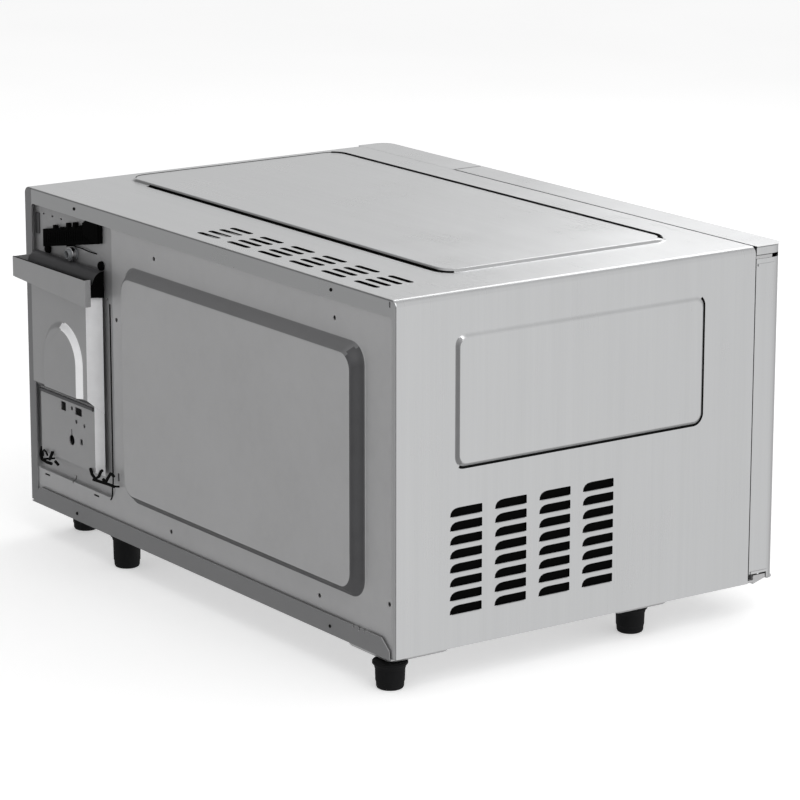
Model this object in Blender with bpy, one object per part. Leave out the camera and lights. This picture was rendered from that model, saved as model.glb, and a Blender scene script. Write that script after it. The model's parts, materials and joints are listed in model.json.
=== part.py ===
"""Bench reflow oven: a folded steel cabinet round a heated chamber, with a side-hinged door,
a control panel, a rear exhaust duct and the heaters, fans and boards that it needs to work.

Sizes here are in millimetres and become metres when a mesh is made. X runs to the user's right,
Y to the rear and Z up. The drawing's own zero is the middle of the cabinet, near its underside.
Every part is moved by PLACEMENT when its object is made, so that the feet stand on Z = 0 and the
origin is under the middle of the whole object, from the handle to the duct hood.
"""

import math

import bmesh
import bpy
from mathutils import Matrix, Vector

MM = 0.001
GAP = 0.3
SHEET = 1.0
PAST = 2.0  # how far a cutter passes beyond the faces that it opens

# Cabinet
HALF_WIDTH = 290.0
BODY_HEIGHT = 290.0
FRONT_Y = -161.0
REAR_Y = 201.0
FOOT_HEIGHT = 32.0
SKIRT = 0.4
TOP_BEND = 6.0
FLANGE_DROP = 14.0
RIGHT_FLANGE = 12.5
LEFT_FLANGE = 4.0

# Raised panels of the cabinet
EMBOSS_RISE = 2.5
EMBOSS_BEVEL = 4.0
SIDE_EMBOSS = (-107.0, 144.5, 148.0, 256.5)
SIDE_EMBOSS_RADIUS = 9.0
TOP_EMBOSS = (-232.0, 268.0, -123.0, 111.0)
TOP_EMBOSS_RADIUS = 18.0

# Side louvres
LOUVRE_FIRST, LOUVRE_STEP, LOUVRE_COLUMNS = 0.4, 44.1, 4
LOUVRE_TOP, LOUVRE_PITCH, LOUVRE_ROWS = 116.0, 11.5, 8
LOUVRE_LENGTH = 31.5
LOUVRE_HEIGHT = 6.0

# Cooling intake low on the control side, and vents near the rear of the top
INTAKE_FIRST, INTAKE_PITCH, INTAKE_COUNT = -60.0, 9.0, 8
INTAKE_WIDTH, INTAKE_LOW, INTAKE_HIGH, INTAKE_ROUND = 4.0, 48.0, 94.0, 1.6
VENT_FIRST, VENT_PITCH, VENT_COLUMNS = -225.5, 46.6, 6
VENT_NEAR, VENT_STEP, VENT_ROWS = 151.0, 10.8, 4
VENT_LENGTH, VENT_WIDTH = 32.0, 4.0

# Base plate
BASE_HALF = 286.0
BASE_FLANGE_HALF, BASE_FLANGE_TIP = 283.0, 272.0
BASE_FLANGE_SHOULDER, BASE_FLANGE_TOP = 6.0, 15.0
BASE_SIDE_TOP = 20.0
PADS = ((-276.0, -206.0, 130.0, 197.0), (214.0, 284.0, 124.0, 191.0),
        (-276.0, -206.0, -95.0, -30.0), (206.0, 276.0, -95.0, -30.0))
PAD_DEPTH, PAD_BEVEL, PAD_RADIUS = 7.5, 5.0, 9.0
BASE_SLOT_FIRST, BASE_SLOT_PITCH, BASE_SLOT_COUNT, BASE_SLOT_WIDTH = 60.0, 20.0, 9, 6.0
BASE_SLOT_FRONT, BASE_SLOT_REAR = 30.0, 80.0

# Rear panel
PANEL_Y = REAR_Y - SHEET - GAP
PANEL_EDGE = SHEET + 0.5
PAN = (-247.6, 120.0, 37.0, 248.5)
PAN_RISE = 9.5
PAN_BEVEL = 11.0
PAN_RADIUS = 18.0
RECESS = (141.0, 284.0, 33.0, 282.0)
RECESS_DEPTH = 3.5
RECESS_RADIUS = 11.0
SCREW_HOLES = ((70.0, 261.0), (-204.0, 261.0), (134.0, 196.0), (134.0, 55.0), (48.0, 25.6),
               (-181.0, 26.3), (-280.0, 44.0))
SCREW_HOLE_RADIUS = 2.0
PINHOLE_FIRST, PINHOLE_PITCH, PINHOLE_COUNT, PINHOLE_Z = 264.0, 12.5, 4, 273.0
PINHOLE_LENGTH, PINHOLE_HEIGHT = 5.0, 2.2
EXHAUST_HOLE = 34.0

# Vent grille and cord gland, in the rear panel's recess
GLAND_X = 209.0
GLAND_Z = 241.5
GLAND_HOLE, GLAND_NECK, GLAND_FLANGE, GLAND_BORE = 5.0, 4.6, 5.7, 3.4
GRILLE_LEFT = (260.0, 240.0)
GRILLE_RIGHT = (161.0, 259.0)
GRILLE_TALL = 15.0
GRILLE_BACK, GRILLE_FRONT = 8.0, 2.6
GRILLE_FIRST, GRILLE_PITCH, GRILLE_SLOTS = 6.5, 8.0, 11
GRILLE_SLOT_WIDTH, GRILLE_RIM = 4.4, 3.2

# Exhaust duct on the rear
DUCT_LEFT = 157.0
DUCT_RIGHT = 252.0
DUCT_DEPTH = 16.0
DUCT_LOWER_DEPTH = 9.0
DUCT_BOTTOM = 50.0
DUCT_LIP_LOW = 107.0
DUCT_LIP_HIGH = 121.0
DUCT_TOP = 224.0
ARCH_X, ARCH_HALF = 198.0, 34.0
ARCH_SPRING, ARCH_HEIGHT = 150.0, 35.0
ARCH_RISE, ARCH_BEVEL = 3.7, 6.5
HOOD_LEFT = 144.0
HOOD_RIGHT = 271.0
HOOD_DEPTH = 24.0
HOOD_LOW = 211.0
HOOD_SLOPE = 3.0
HOOD_HIGH = 232.0
HOOD_RETURN = 6.0
ROLL_RADIUS = 10.4
ROLL_OVERHANG = 2.0
DUCT_WINDOWS = ((207.5, 216.0, 100.5, 108.5), (179.5, 191.3, 101.0, 108.0), (179.0, 183.4, 75.0, 80.5))
DUCT_DOTS = ((197.0, 105.5), (189.5, 94.7), (175.5, 93.6))
DUCT_DOT_RADIUS = 1.9
DUCT_KEYHOLE = (198.0, 76.2)
KEYHOLE_RADIUS, KEYHOLE_STEM, KEYHOLE_REACH = 4.8, 1.0, 10.0

# Chamber
CHAMBER_LEFT = -236.0
CHAMBER_RIGHT = 104.0
CHAMBER_LOW = 43.0
CHAMBER_HIGH = 247.0
CHAMBER_REAR = 146.0
CHAMBER_SHEET = 0.8
FAN_X = -66.0
FAN_Z = 145.0
SHAFT_RADIUS, SHAFT_WAY = 3.0, 3.4
PROBE_Y, PROBE_Z = 0.0, 158.0
SLEEVE_OUTER = (-249.0, 117.5, 30.0, 260.0)
SLEEVE_INNER = (-237.2, 105.2, 41.8, 248.2)
SLAB_THICKNESS = 9.8
BAFFLE_Y = 108.0
BAFFLE_HOLE = 5.0
BAFFLE_RINGS = ((17.0, 6), (34.0, 12))
BAFFLE_OUTLET_INSET, BAFFLE_OUTLET_LENGTH, BAFFLE_OUTLET_HEIGHT = 32.0, 34.0, 7.0
BAFFLE_OUTLET_LOW, BAFFLE_OUTLET_STEP, BAFFLE_OUTLETS = 70.0, 25.0, 7
FAN_Y, FAN_DEPTH, FAN_RADIUS, FAN_HUB, FAN_BLADES = 114.0, 20.0, 58.0, 11.0, 8
MOTOR_RADIUS, MOTOR_NECK, MOTOR_CAP = 26.0, 12.0, 22.0
HEATER_INSET = 14.0
HEATER_Y = {"front": -95.0, "rear": 55.0}
HEATER_RADIUS, HEATER_END_RADIUS, HEATER_END_LENGTH = 5.0, 8.0, 12.0

# Board tray and its rails
TRAY_Z = 122.0
TRAY_FRONT, TRAY_REAR = -123.0, 98.0
TRAY_THICKNESS, TRAY_LIP = 2.0, 13.0
TRAY_SLOT_PITCH, TRAY_SLOT_COUNT, TRAY_SLOT_WIDTH = 26.0, 12, 18.0
RAIL_FRONT, RAIL_REAR = -150.0, 100.0
RAIL_SHELF, RAIL_HEIGHT, RAIL_SHEET = 12.0, 14.0, 1.5

# Door and control panel
DOOR_BACK = -163.0
DOOR_FRONT = -194.0
DOOR_RIGHT = 135.0
DOOR_LOW = 2.0
DOOR_HIGH = 290.0
DOOR_SKIN = 1.5
CORNER_RADIUS = 13.0
PLUG = (-226.0, 94.0, 53.0, 237.0)
PLUG_DEPTH = 7.0
SIGHT = (-215.0, 83.0, 64.0, 226.0)
WINDOW = (-232.0, 62.0, 66.0, 226.0)
SEAL_OUTER = (-247.0, 115.0, 32.0, 258.0)
SEAL_WIDTH = 8.0
PANEL_LEFT = 137.0
FASCIA_WALL = 2.5
FRAME_HALF = 288.5
FRAME_LOW, FRAME_HIGH = 3.0, 285.2
WIRING_WAY = (146.0, 280.0, 20.0, 276.0)
HANDLE_X = 100.0
HANDLE_REACH = 47.0
HANDLE_LOW, HANDLE_HIGH = 62.0, 228.0
HANDLE_WIDTH, HANDLE_THICKNESS = 16.0, 12.0
POST_HEIGHTS = {"lower": 82.0, "upper": 208.0}
POST_RADIUS, POST_FOOT = 5.0, 7.5
TONGUE_X = 126.5
TONGUE_HEIGHTS = (92.0, 197.0)
TONGUE_REACH = 13.0

# Door hinges: brackets that stand in notches of the door's hinge side
HINGE_X = -286.0
HINGE_Y = -174.0
BRACKET_RIGHT = -266.0
BRACKET_REAR = -140.0
BRACKET_FRONT = -181.0
LOWER_BRACKET = (0.3, 2.3)
LOWER_BOSS = ((-168.0, -1.2), (-181.0, 2.6), (-181.0, 6.2), (-168.0, 6.2))
UPPER_BRACKET = (279.6, 282.2)
NOTCH_RIGHT = -262.0
LOWER_NOTCH = (-182.0, 8.0)
UPPER_NOTCH = (-188.0, 279.2, 282.6)
HINGE_PLATES = (9.0, 274.0)
HINGE_PLATE_FRONT, HINGE_PLATE_REAR = -182.5, -164.8
PIN_RADIUS, PIN_HOLE = 2.0, 2.4
PINS = {"bottom": (6.5, 18.0), "top": (264.0, 279.3)}

PLACEMENT = (0.0, (HANDLE_REACH - DOOR_FRONT - REAR_Y - HOOD_DEPTH) / 2, FOOT_HEIGHT)

# Controls
KEY_CENTRES = {"key_up": (185.0, 186.0), "key_down": (185.0, 166.0),
               "key_start": (242.0, 186.0), "key_stop": (242.0, 166.0)}
KNOB_CENTRE = (213.5, 112.0)
KEY_SIZE = (40.0, 12.0)
KEY_BACK = 4.4
KNOB_RADIUS, KNOB_FLUTES, KNOB_GROOVE, KNOB_HEIGHT = 18.5, 18, 0.8, 20.0
DISPLAY = (160.0, 267.0, 206.0, 266.0)
DISPLAY_BOARD = (154.0, 273.0, 200.0, 272.0)
KEYPAD_BOARD = (154.0, 273.0, 94.0, 196.0)
BOARD_THICKNESS = 1.6
ENCODER_HALF = 6.0
ROCKER_CENTRE = (213.5, 52.0)
ROCKER_SIZE = (15.0, 26.0)
ROCKER_TILT = 7.0
ROCKER_PIVOT = 4.0
SWITCH_DEPTH = 16.0

# Electronics compartment
WALL_X = 119.0
CONTROLLER_BOARD = (-90.0, 40.0, 90.0, 250.0)
TRANSFORMER_CORE = (160.0, 226.0, 20.0, 76.0, 3.0, 58.0)
TRANSFORMER_COIL = (170.0, 216.0, 6.0, 90.0, 14.0, 47.0)
HEATSINK = (160.0, 250.0, -110.0, -30.0, 6.0, 32.0)
HEATSINK_FINS, HEATSINK_PITCH, HEATSINK_SLOT, HEATSINK_BASE = 9, 9.0, 5.5, 6.0

# Exhaust fan
EXHAUST_X = 203.0
EXHAUST_Z = 150.0
EXHAUST_FRONT, EXHAUST_REAR, EXHAUST_HALF, EXHAUST_BORE = 169.0, 193.0, 40.0, 37.5
SPOKE_ANGLE = 8.0
ROTOR_RADIUS, ROTOR_DEPTH, ROTOR_HUB, ROTOR_BLADES = 35.0, 15.0, 13.0, 7

FEET = {"foot_rear_left": (-262.0, 186.5), "foot_rear_middle": (148.0, 185.0),
        "foot_rear_right": (273.0, 154.0), "foot_front_left": (-255.0, -63.0),
        "foot_front_right": (255.0, -63.0)}
FOOT_SEAT_ON_PAD, FOOT_SEAT_ON_FLOOR = -8.8, -1.3
FOOT_FLANGE, FOOT_SHOULDER, FOOT_LOW, FOOT_SOLE = 14.5, 12.8, 11.8, 10.2

# Finish: base colour (linear), roughness, metallic
FINISHES = {
    "brushed_steel": ((0.60, 0.61, 0.62), 0.30, 1.0),
    "zinc_steel": ((0.42, 0.42, 0.43), 0.38, 1.0),
    "enamel": ((0.10, 0.10, 0.11), 0.45, 0.0),
    "wool": ((0.80, 0.78, 0.70), 0.95, 0.0),
    "rubber": ((0.012, 0.012, 0.012), 0.75, 0.0),
    "black_plastic": ((0.020, 0.020, 0.022), 0.48, 0.0),
    "grey_plastic": ((0.25, 0.26, 0.27), 0.50, 0.0),
    "green_key": ((0.03, 0.30, 0.08), 0.45, 0.0),
    "red_key": ((0.45, 0.02, 0.02), 0.45, 0.0),
    "glass": ((0.55, 0.60, 0.60), 0.05, 0.0),
    "quartz": ((0.80, 0.78, 0.74), 0.25, 0.0),
    "circuit": ((0.02, 0.16, 0.06), 0.55, 0.0),
    "silicone": ((0.35, 0.08, 0.05), 0.70, 0.0),
    "laminate": ((0.14, 0.12, 0.11), 0.50, 0.7),
    "aluminium": ((0.72, 0.72, 0.73), 0.35, 1.0),
    "chrome": ((0.80, 0.80, 0.80), 0.15, 1.0),
}


# ---- Outlines, as lists of 2-D points ----

def rectangle(a0, a1, b0, b1):
    return [(a0, b0), (a1, b0), (a1, b1), (a0, b1)]


def arc(centre, radius, start, end, steps):
    """Points on an arc, in degrees, both ends included."""
    angles = [math.radians(start + (end - start) * i / steps) for i in range(steps + 1)]
    return [(centre[0] + radius * math.cos(t), centre[1] + radius * math.sin(t)) for t in angles]


def rounded(a0, a1, b0, b1, radius, steps=3):
    points = arc((a1 - radius, b0 + radius), radius, -90, 0, steps)
    points += arc((a1 - radius, b1 - radius), radius, 0, 90, steps)
    points += arc((a0 + radius, b1 - radius), radius, 90, 180, steps)
    points += arc((a0 + radius, b0 + radius), radius, 180, 270, steps)
    return points


def circle(a, b, radius, steps=16):
    return arc((a, b), radius, 0, 360, steps)[:-1]


def slot(a, b, length, height, steps=3):
    """A slot with round ends, centred on (a, b) and running along the first axis."""
    reach = (length - height) / 2
    points = arc((a + reach, b), height / 2, -90, 90, steps)
    return points + arc((a - reach, b), height / 2, 90, 270, steps)


def keyhole(a, b, radius, half_stem, reach):
    """A round hole with a narrow slot rising from it."""
    lean = math.degrees(math.asin(half_stem / radius))
    round_part = arc((a, b), radius, 90 + lean, 450 - lean, 9)
    return round_part + [(a + half_stem, b + reach), (a - half_stem, b + reach)]


def grown(box, amount):
    """A box outline (a0, a1, b0, b1) moved outward by amount on each side."""
    return (box[0] - amount, box[1] + amount, box[2] - amount, box[3] + amount)


# ---- Solids, as bmeshes in metres ----

def place(axis, depth, a, b):
    if axis == "X":
        return Vector((depth, a, b)) * MM
    if axis == "Y":
        return Vector((a, depth, b)) * MM
    return Vector((a, b, depth)) * MM


def closed(shape):
    bmesh.ops.recalc_face_normals(shape, faces=shape.faces)
    return shape


def loft(axis, *sections):
    """A solid through sections (depth, outline), which have the same number of points each."""
    shape = bmesh.new()
    rings = [[shape.verts.new(place(axis, depth, a, b)) for a, b in outline]
             for depth, outline in sections]
    count = len(rings[0])
    for low, high in zip(rings, rings[1:]):
        for i in range(count):
            j = (i + 1) % count
            shape.faces.new((low[i], low[j], high[j], high[i]))
    shape.faces.new(rings[0])
    shape.faces.new(rings[-1])
    return closed(shape)


def prism(axis, low, high, outline):
    return loft(axis, (low, outline), (high, outline))


def box(x0, x1, y0, y1, z0, z1):
    return prism("Z", z0, z1, rectangle(x0, x1, y0, y1))


def turned(axis, centre, profile, steps=16):
    """A solid of revolution: profile is (depth, radius) from one end to the other."""
    return loft(axis, *[(depth, circle(*centre, radius, steps)) for depth, radius in profile])


def ring(axis, low, high, outer, inner):
    """A frame between two outlines with the same number of points."""
    shape = bmesh.new()
    loops = [[shape.verts.new(place(axis, depth, a, b)) for a, b in outline]
             for depth, outline in ((low, outer), (high, outer), (high, inner), (low, inner))]
    count = len(outer)
    for k in range(4):
        here, there = loops[k], loops[(k + 1) % 4]
        for i in range(count):
            j = (i + 1) % count
            shape.faces.new((here[i], here[j], there[j], there[i]))
    return closed(shape)


def together(shapes):
    """Separate solids in one bmesh, to be used as one cutter."""
    whole = bmesh.new()
    for shape in shapes:
        mesh = bpy.data.meshes.new("part_of_cutter")
        shape.to_mesh(mesh)
        shape.free()
        whole.from_mesh(mesh)
        bpy.data.meshes.remove(mesh)
    return whole


def boolean(base, tool, operation):
    """The union, difference or intersection of two bmeshes, by Blender's exact solver."""
    objects = []
    for label, shape in (("base", base), ("tool", tool)):
        mesh = bpy.data.meshes.new(label)
        shape.to_mesh(mesh)
        shape.free()
        obj = bpy.data.objects.new(label, mesh)
        bpy.context.scene.collection.objects.link(obj)
        objects.append(obj)
    modifier = objects[0].modifiers.new("boolean", "BOOLEAN")
    modifier.operation = operation
    modifier.solver = "EXACT"
    modifier.object = objects[1]
    bpy.context.view_layer.update()
    depsgraph = bpy.context.evaluated_depsgraph_get()
    result = bmesh.new()
    result.from_mesh(objects[0].evaluated_get(depsgraph).data)
    for obj in objects:
        mesh = obj.data
        bpy.data.objects.remove(obj)
        bpy.data.meshes.remove(mesh)
    return result


def cut(base, *tools):
    return boolean(base, together(tools), "DIFFERENCE")


def joined(base, *tools):
    for tool in tools:
        base = boolean(base, tool, "UNION")
    return base


def finish_material(name, finish):
    colour, roughness, metallic = FINISHES[finish]
    material = bpy.data.materials.new(name + "_finish")
    material.use_nodes = True
    shader = material.node_tree.nodes["Principled BSDF"]
    shader.inputs["Base Color"].default_value = (*colour, 1.0)
    shader.inputs["Roughness"].default_value = roughness
    shader.inputs["Metallic"].default_value = metallic
    return material


def part(name, finish, shape, pivot=(0.0, 0.0, 0.0)):
    """Makes one named object of a solid, with its origin at the pivot, which is in millimetres."""
    origin = Vector(pivot) * MM
    shape.transform(Matrix.Translation(-origin))
    mesh = bpy.data.meshes.new(name)
    shape.to_mesh(mesh)
    shape.free()
    mesh.shade_smooth()
    mesh.set_sharp_from_angle(angle=math.radians(30))
    mesh.materials.append(finish_material(name, finish))
    obj = bpy.data.objects.new(name, mesh)
    bpy.context.scene.collection.objects.link(obj)
    obj.location = origin + Vector(PLACEMENT) * MM
    return obj


# ---- Cabinet ----

def side_section(inset):
    """The cabinet's section across X and Z, moved inward by inset, with the top corners bent. The
    sides end at the skirt, just above the base plate."""
    half = HALF_WIDTH - inset
    top = BODY_HEIGHT - inset
    radius = TOP_BEND - inset
    points = [(-half, SKIRT), (half, SKIRT)]
    points += arc((half - radius, top - radius), radius, 0, 90, 4)
    return points + arc((-half + radius, top - radius), radius, 90, 180, 4)


def raised(axis, base, rise, extent, radius, bevel):
    """A raised panel with sloping edges, from the base plane out to base plus rise."""
    sunk = -rise / abs(rise)
    outer = rounded(*extent, radius)
    inner = rounded(*grown(extent, -bevel), radius - bevel / 2)
    return loft(axis, (base + sunk, outer), (base, outer), (base + rise, inner))


def wrapper_bulges(inset):
    """The raised panels on the top and on both sides, as solids inset from the outer face."""
    side = (EMBOSS_RISE, SIDE_EMBOSS, SIDE_EMBOSS_RADIUS, EMBOSS_BEVEL)
    top = raised("Z", BODY_HEIGHT - inset, EMBOSS_RISE, TOP_EMBOSS, TOP_EMBOSS_RADIUS, EMBOSS_BEVEL)
    left = raised("X", -HALF_WIDTH + inset, -side[0], *side[1:])
    right = raised("X", HALF_WIDTH - inset, *side)
    return [top, left, right]


def louvre_outline(y, z):
    """A louvre seen from the side: flat below, with its top edge falling away towards the rear."""
    half = LOUVRE_LENGTH / 2
    top = z + LOUVRE_HEIGHT
    return [(y - half, z), (y + half, z), (y + half * 0.92, z + LOUVRE_HEIGHT * 0.45),
            (y + half * 0.70, z + LOUVRE_HEIGHT * 0.85), (y + half * 0.45, top), (y - half, top)]


def side_louvres():
    cutters = []
    for column in range(LOUVRE_COLUMNS):
        for row in range(LOUVRE_ROWS):
            z = LOUVRE_TOP - LOUVRE_HEIGHT - row * LOUVRE_PITCH
            outline = louvre_outline(LOUVRE_FIRST + column * LOUVRE_STEP, z)
            cutters.append(prism("X", -HALF_WIDTH - PAST, -HALF_WIDTH + SHEET + PAST, outline))
    return cutters


def intake_slots():
    """Cooling air intake low on the control side: upright slots."""
    cutters = []
    for i in range(INTAKE_COUNT):
        y = INTAKE_FIRST + i * INTAKE_PITCH
        outline = rounded(y, y + INTAKE_WIDTH, INTAKE_LOW, INTAKE_HIGH, INTAKE_ROUND, 2)
        cutters.append(prism("X", HALF_WIDTH - SHEET - PAST, HALF_WIDTH + PAST, outline))
    return cutters


def top_vents():
    """Columns of short slots near the rear of the top."""
    cutters = []
    for i in range(VENT_COLUMNS):
        for j in range(VENT_ROWS):
            x, y = VENT_FIRST + i * VENT_PITCH, VENT_NEAR + j * VENT_STEP
            outline = slot(x, y, VENT_LENGTH, VENT_WIDTH, 2)
            cutters.append(prism("Z", BODY_HEIGHT - SHEET - PAST, BODY_HEIGHT + PAST, outline))
    return cutters


def make_wrapper():
    shell = joined(prism("Y", FRONT_Y, REAR_Y, side_section(0.0)), *wrapper_bulges(0.0))
    section = [(a, b - SHEET if b == SKIRT else b) for a, b in side_section(SHEET)]
    inner = joined(prism("Y", FRONT_Y - PAST, REAR_Y - SHEET, section), *wrapper_bulges(SHEET))
    window = box(-HALF_WIDTH + LEFT_FLANGE, HALF_WIDTH - RIGHT_FLANGE, REAR_Y - SHEET - PAST,
                 REAR_Y + PAST, -PAST, BODY_HEIGHT - FLANGE_DROP)
    shell = cut(cut(shell, inner), window)
    shell = cut(shell, *side_louvres(), *intake_slots(), *top_vents())
    part("outer_wrapper", "brushed_steel", shell)


def base_slots():
    cutters = []
    for i in range(BASE_SLOT_COUNT):
        x = BASE_SLOT_FIRST + i * BASE_SLOT_PITCH
        outline = rounded(x, x + BASE_SLOT_WIDTH, BASE_SLOT_FRONT, BASE_SLOT_REAR, 2.9, 2)
        cutters.append(prism("Z", -SHEET - PAST, PAST, outline))
    return cutters


def make_base():
    """The floor, its rear flange with cut corners, its two side flanges and the pads for the feet."""
    flange_y = (REAR_Y + GAP, REAR_Y + GAP + SHEET)
    floor = box(-BASE_HALF, BASE_HALF, FRONT_Y + SHEET, flange_y[1], -SHEET, 0.0)
    half, tip = BASE_FLANGE_HALF, BASE_FLANGE_TIP
    rear = prism("Y", *flange_y, [(-half, -SHEET), (half, -SHEET), (half, BASE_FLANGE_SHOULDER),
                                  (tip, BASE_FLANGE_TOP), (-tip, BASE_FLANGE_TOP),
                                  (-half, BASE_FLANGE_SHOULDER)])
    sides = [box(x, x + SHEET, FRONT_Y + 25.0, REAR_Y - 4.0, -SHEET, BASE_SIDE_TOP)
             for x in (-BASE_HALF, BASE_HALF - SHEET)]
    pads = [raised("Z", -SHEET, -PAD_DEPTH, pad, PAD_RADIUS, PAD_BEVEL) for pad in PADS]
    base = joined(floor, rear, *sides, *pads)
    for pad in PADS:
        outer = rounded(*pad, PAD_RADIUS)
        inner = rounded(*grown(pad, -PAD_BEVEL), PAD_RADIUS - PAD_BEVEL / 2)
        base = cut(base, loft("Z", (SHEET, outer), (0.0, outer), (-PAD_DEPTH, inner)))
    part("base_plate", "zinc_steel", cut(base, *base_slots()))


def make_feet():
    for name, centre in FEET.items():
        seat = FOOT_SEAT_ON_FLOOR if name == "foot_rear_middle" else FOOT_SEAT_ON_PAD
        profile = [(seat, FOOT_FLANGE), (seat - 3.0, FOOT_FLANGE), (seat - 4.5, FOOT_SHOULDER),
                   (-FOOT_HEIGHT + 2.0, FOOT_LOW), (-FOOT_HEIGHT, FOOT_SOLE)]
        part(name, "rubber", turned("Z", centre, profile, 18))


def through_panel(outline):
    """A cutter through the rear panel, whether it's in the recess or not."""
    return prism("Y", PANEL_Y - SHEET - RECESS_DEPTH - PAST, PANEL_Y + PAST, outline)


def make_rear_panel():
    inner_face = PANEL_Y - SHEET
    panel = prism("Y", inner_face, PANEL_Y, side_section(PANEL_EDGE))
    recess_back = rounded(*grown(RECESS, SHEET), RECESS_RADIUS + SHEET)
    bulge = prism("Y", inner_face - RECESS_DEPTH, PANEL_Y - SHEET / 2, recess_back)
    panel = joined(panel, bulge, raised("Y", PANEL_Y, PAN_RISE, PAN, PAN_RADIUS, PAN_BEVEL))
    pan_inside = raised("Y", inner_face, PAN_RISE, grown(PAN, -SHEET * 0.6), PAN_RADIUS, PAN_BEVEL)
    recess = prism("Y", PANEL_Y - RECESS_DEPTH, PANEL_Y + PAST, rounded(*RECESS, RECESS_RADIUS))
    panel = cut(panel, pan_inside, recess)
    holes = [circle(EXHAUST_X, EXHAUST_Z, EXHAUST_HOLE, 20), circle(GLAND_X, GLAND_Z, GLAND_HOLE, 12),
             grille_outline(-1.5)]
    holes += [circle(*place_of, SCREW_HOLE_RADIUS, 8) for place_of in SCREW_HOLES]
    holes += [slot(PINHOLE_FIRST - i * PINHOLE_PITCH, PINHOLE_Z, PINHOLE_LENGTH, PINHOLE_HEIGHT, 2)
              for i in range(PINHOLE_COUNT)]
    part("rear_panel", "zinc_steel", cut(panel, *[through_panel(outline) for outline in holes]))


# ---- Exhaust duct, grille and cord gland ----

def grille_outline(margin):
    """The grille's slanted band on the rear panel, widened by margin."""
    (x1, z1), (x0, z0) = GRILLE_LEFT, GRILLE_RIGHT
    return [(x0 - margin, z0 - margin), (x1 + margin, z1 - margin),
            (x1 + margin, z1 + GRILLE_TALL + margin), (x0 - margin, z0 + GRILLE_TALL + margin)]


def make_grille():
    base_y = PANEL_Y - RECESS_DEPTH
    front = base_y + GRILLE_FRONT
    block = joined(prism("Y", base_y - GRILLE_BACK, front, grille_outline(-2.0)),
                   prism("Y", base_y + GAP, front, grille_outline(0.5)))
    (x0, z0), (x1, z1) = GRILLE_RIGHT, GRILLE_LEFT
    half = GRILLE_SLOT_WIDTH / 2
    cutters = []
    for i in range(GRILLE_SLOTS):
        along = GRILLE_FIRST + i * GRILLE_PITCH
        z = z0 + (z1 - z0) * along / (x1 - x0)
        cutters.append(box(x0 + along - half, x0 + along + half, base_y - GRILLE_BACK - PAST,
                           front + PAST, z + GRILLE_RIM, z + GRILLE_TALL - GRILLE_RIM))
    part("rear_vent_grille", "black_plastic", cut(block, *cutters))


def make_gland():
    base_y = PANEL_Y - RECESS_DEPTH
    centre = (GLAND_X, GLAND_Z)
    body = turned("Y", centre, [(base_y - 3.0, GLAND_NECK), (base_y + GAP, GLAND_NECK),
                                (base_y + GAP, GLAND_FLANGE), (base_y + 7.0, GLAND_FLANGE),
                                (base_y + 9.0, GLAND_FLANGE - 0.9)], 18)
    bore = prism("Y", base_y - 3.0 - PAST, base_y + 9.0 + PAST, circle(*centre, GLAND_BORE, 14))
    part("cord_gland", "grey_plastic", cut(body, bore))


def duct_side(depth, low_back, low_front, high):
    """The duct's side view: its bottom slopes from the back edge out to the front edge."""
    back = PANEL_Y + GAP
    return [(back, low_back), (REAR_Y + depth, low_front), (REAR_Y + depth, high), (back, high)]


def duct_hollow():
    """The air space inside the duct, open at the back and at the top."""
    back = PANEL_Y + GAP - PAST
    face = REAR_Y + DUCT_DEPTH - SHEET
    upper = prism("X", DUCT_LEFT + SHEET, DUCT_RIGHT - SHEET,
                  [(back, DUCT_LIP_LOW + SHEET), (face, DUCT_LIP_HIGH + SHEET),
                   (face, DUCT_TOP + PAST), (back, DUCT_TOP + PAST)])
    face = REAR_Y + DUCT_LOWER_DEPTH - SHEET
    lower = prism("X", DUCT_LEFT + GAP + SHEET, DUCT_RIGHT - GAP - SHEET,
                  [(back, DUCT_BOTTOM + SHEET), (face, DUCT_BOTTOM + SHEET + 5.0),
                   (face, DUCT_LIP_HIGH + 8.0), (back, DUCT_LIP_HIGH + 8.0)])
    return joined(upper, lower, duct_arch(SHEET))


def make_duct():
    upper = prism("X", DUCT_LEFT, DUCT_RIGHT,
                  duct_side(DUCT_DEPTH, DUCT_LIP_LOW, DUCT_LIP_HIGH, DUCT_TOP))
    lower = prism("X", DUCT_LEFT + GAP, DUCT_RIGHT - GAP,
                  duct_side(DUCT_LOWER_DEPTH, DUCT_BOTTOM, DUCT_BOTTOM + 5.0, DUCT_LIP_HIGH + 6.0))
    cover = cut(joined(upper, lower, duct_arch(0.0)), duct_hollow())
    outlines = [rounded(*window, 1.0, 1) for window in DUCT_WINDOWS]
    outlines += [circle(*dot, DUCT_DOT_RADIUS, 6) for dot in DUCT_DOTS]
    outlines.append(keyhole(*DUCT_KEYHOLE, KEYHOLE_RADIUS, KEYHOLE_STEM, KEYHOLE_REACH))
    punched = [prism("Y", REAR_Y, REAR_Y + DUCT_DEPTH - PAST, outline) for outline in outlines]
    part("duct_cover", "zinc_steel", cut(cover, *punched))


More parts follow.
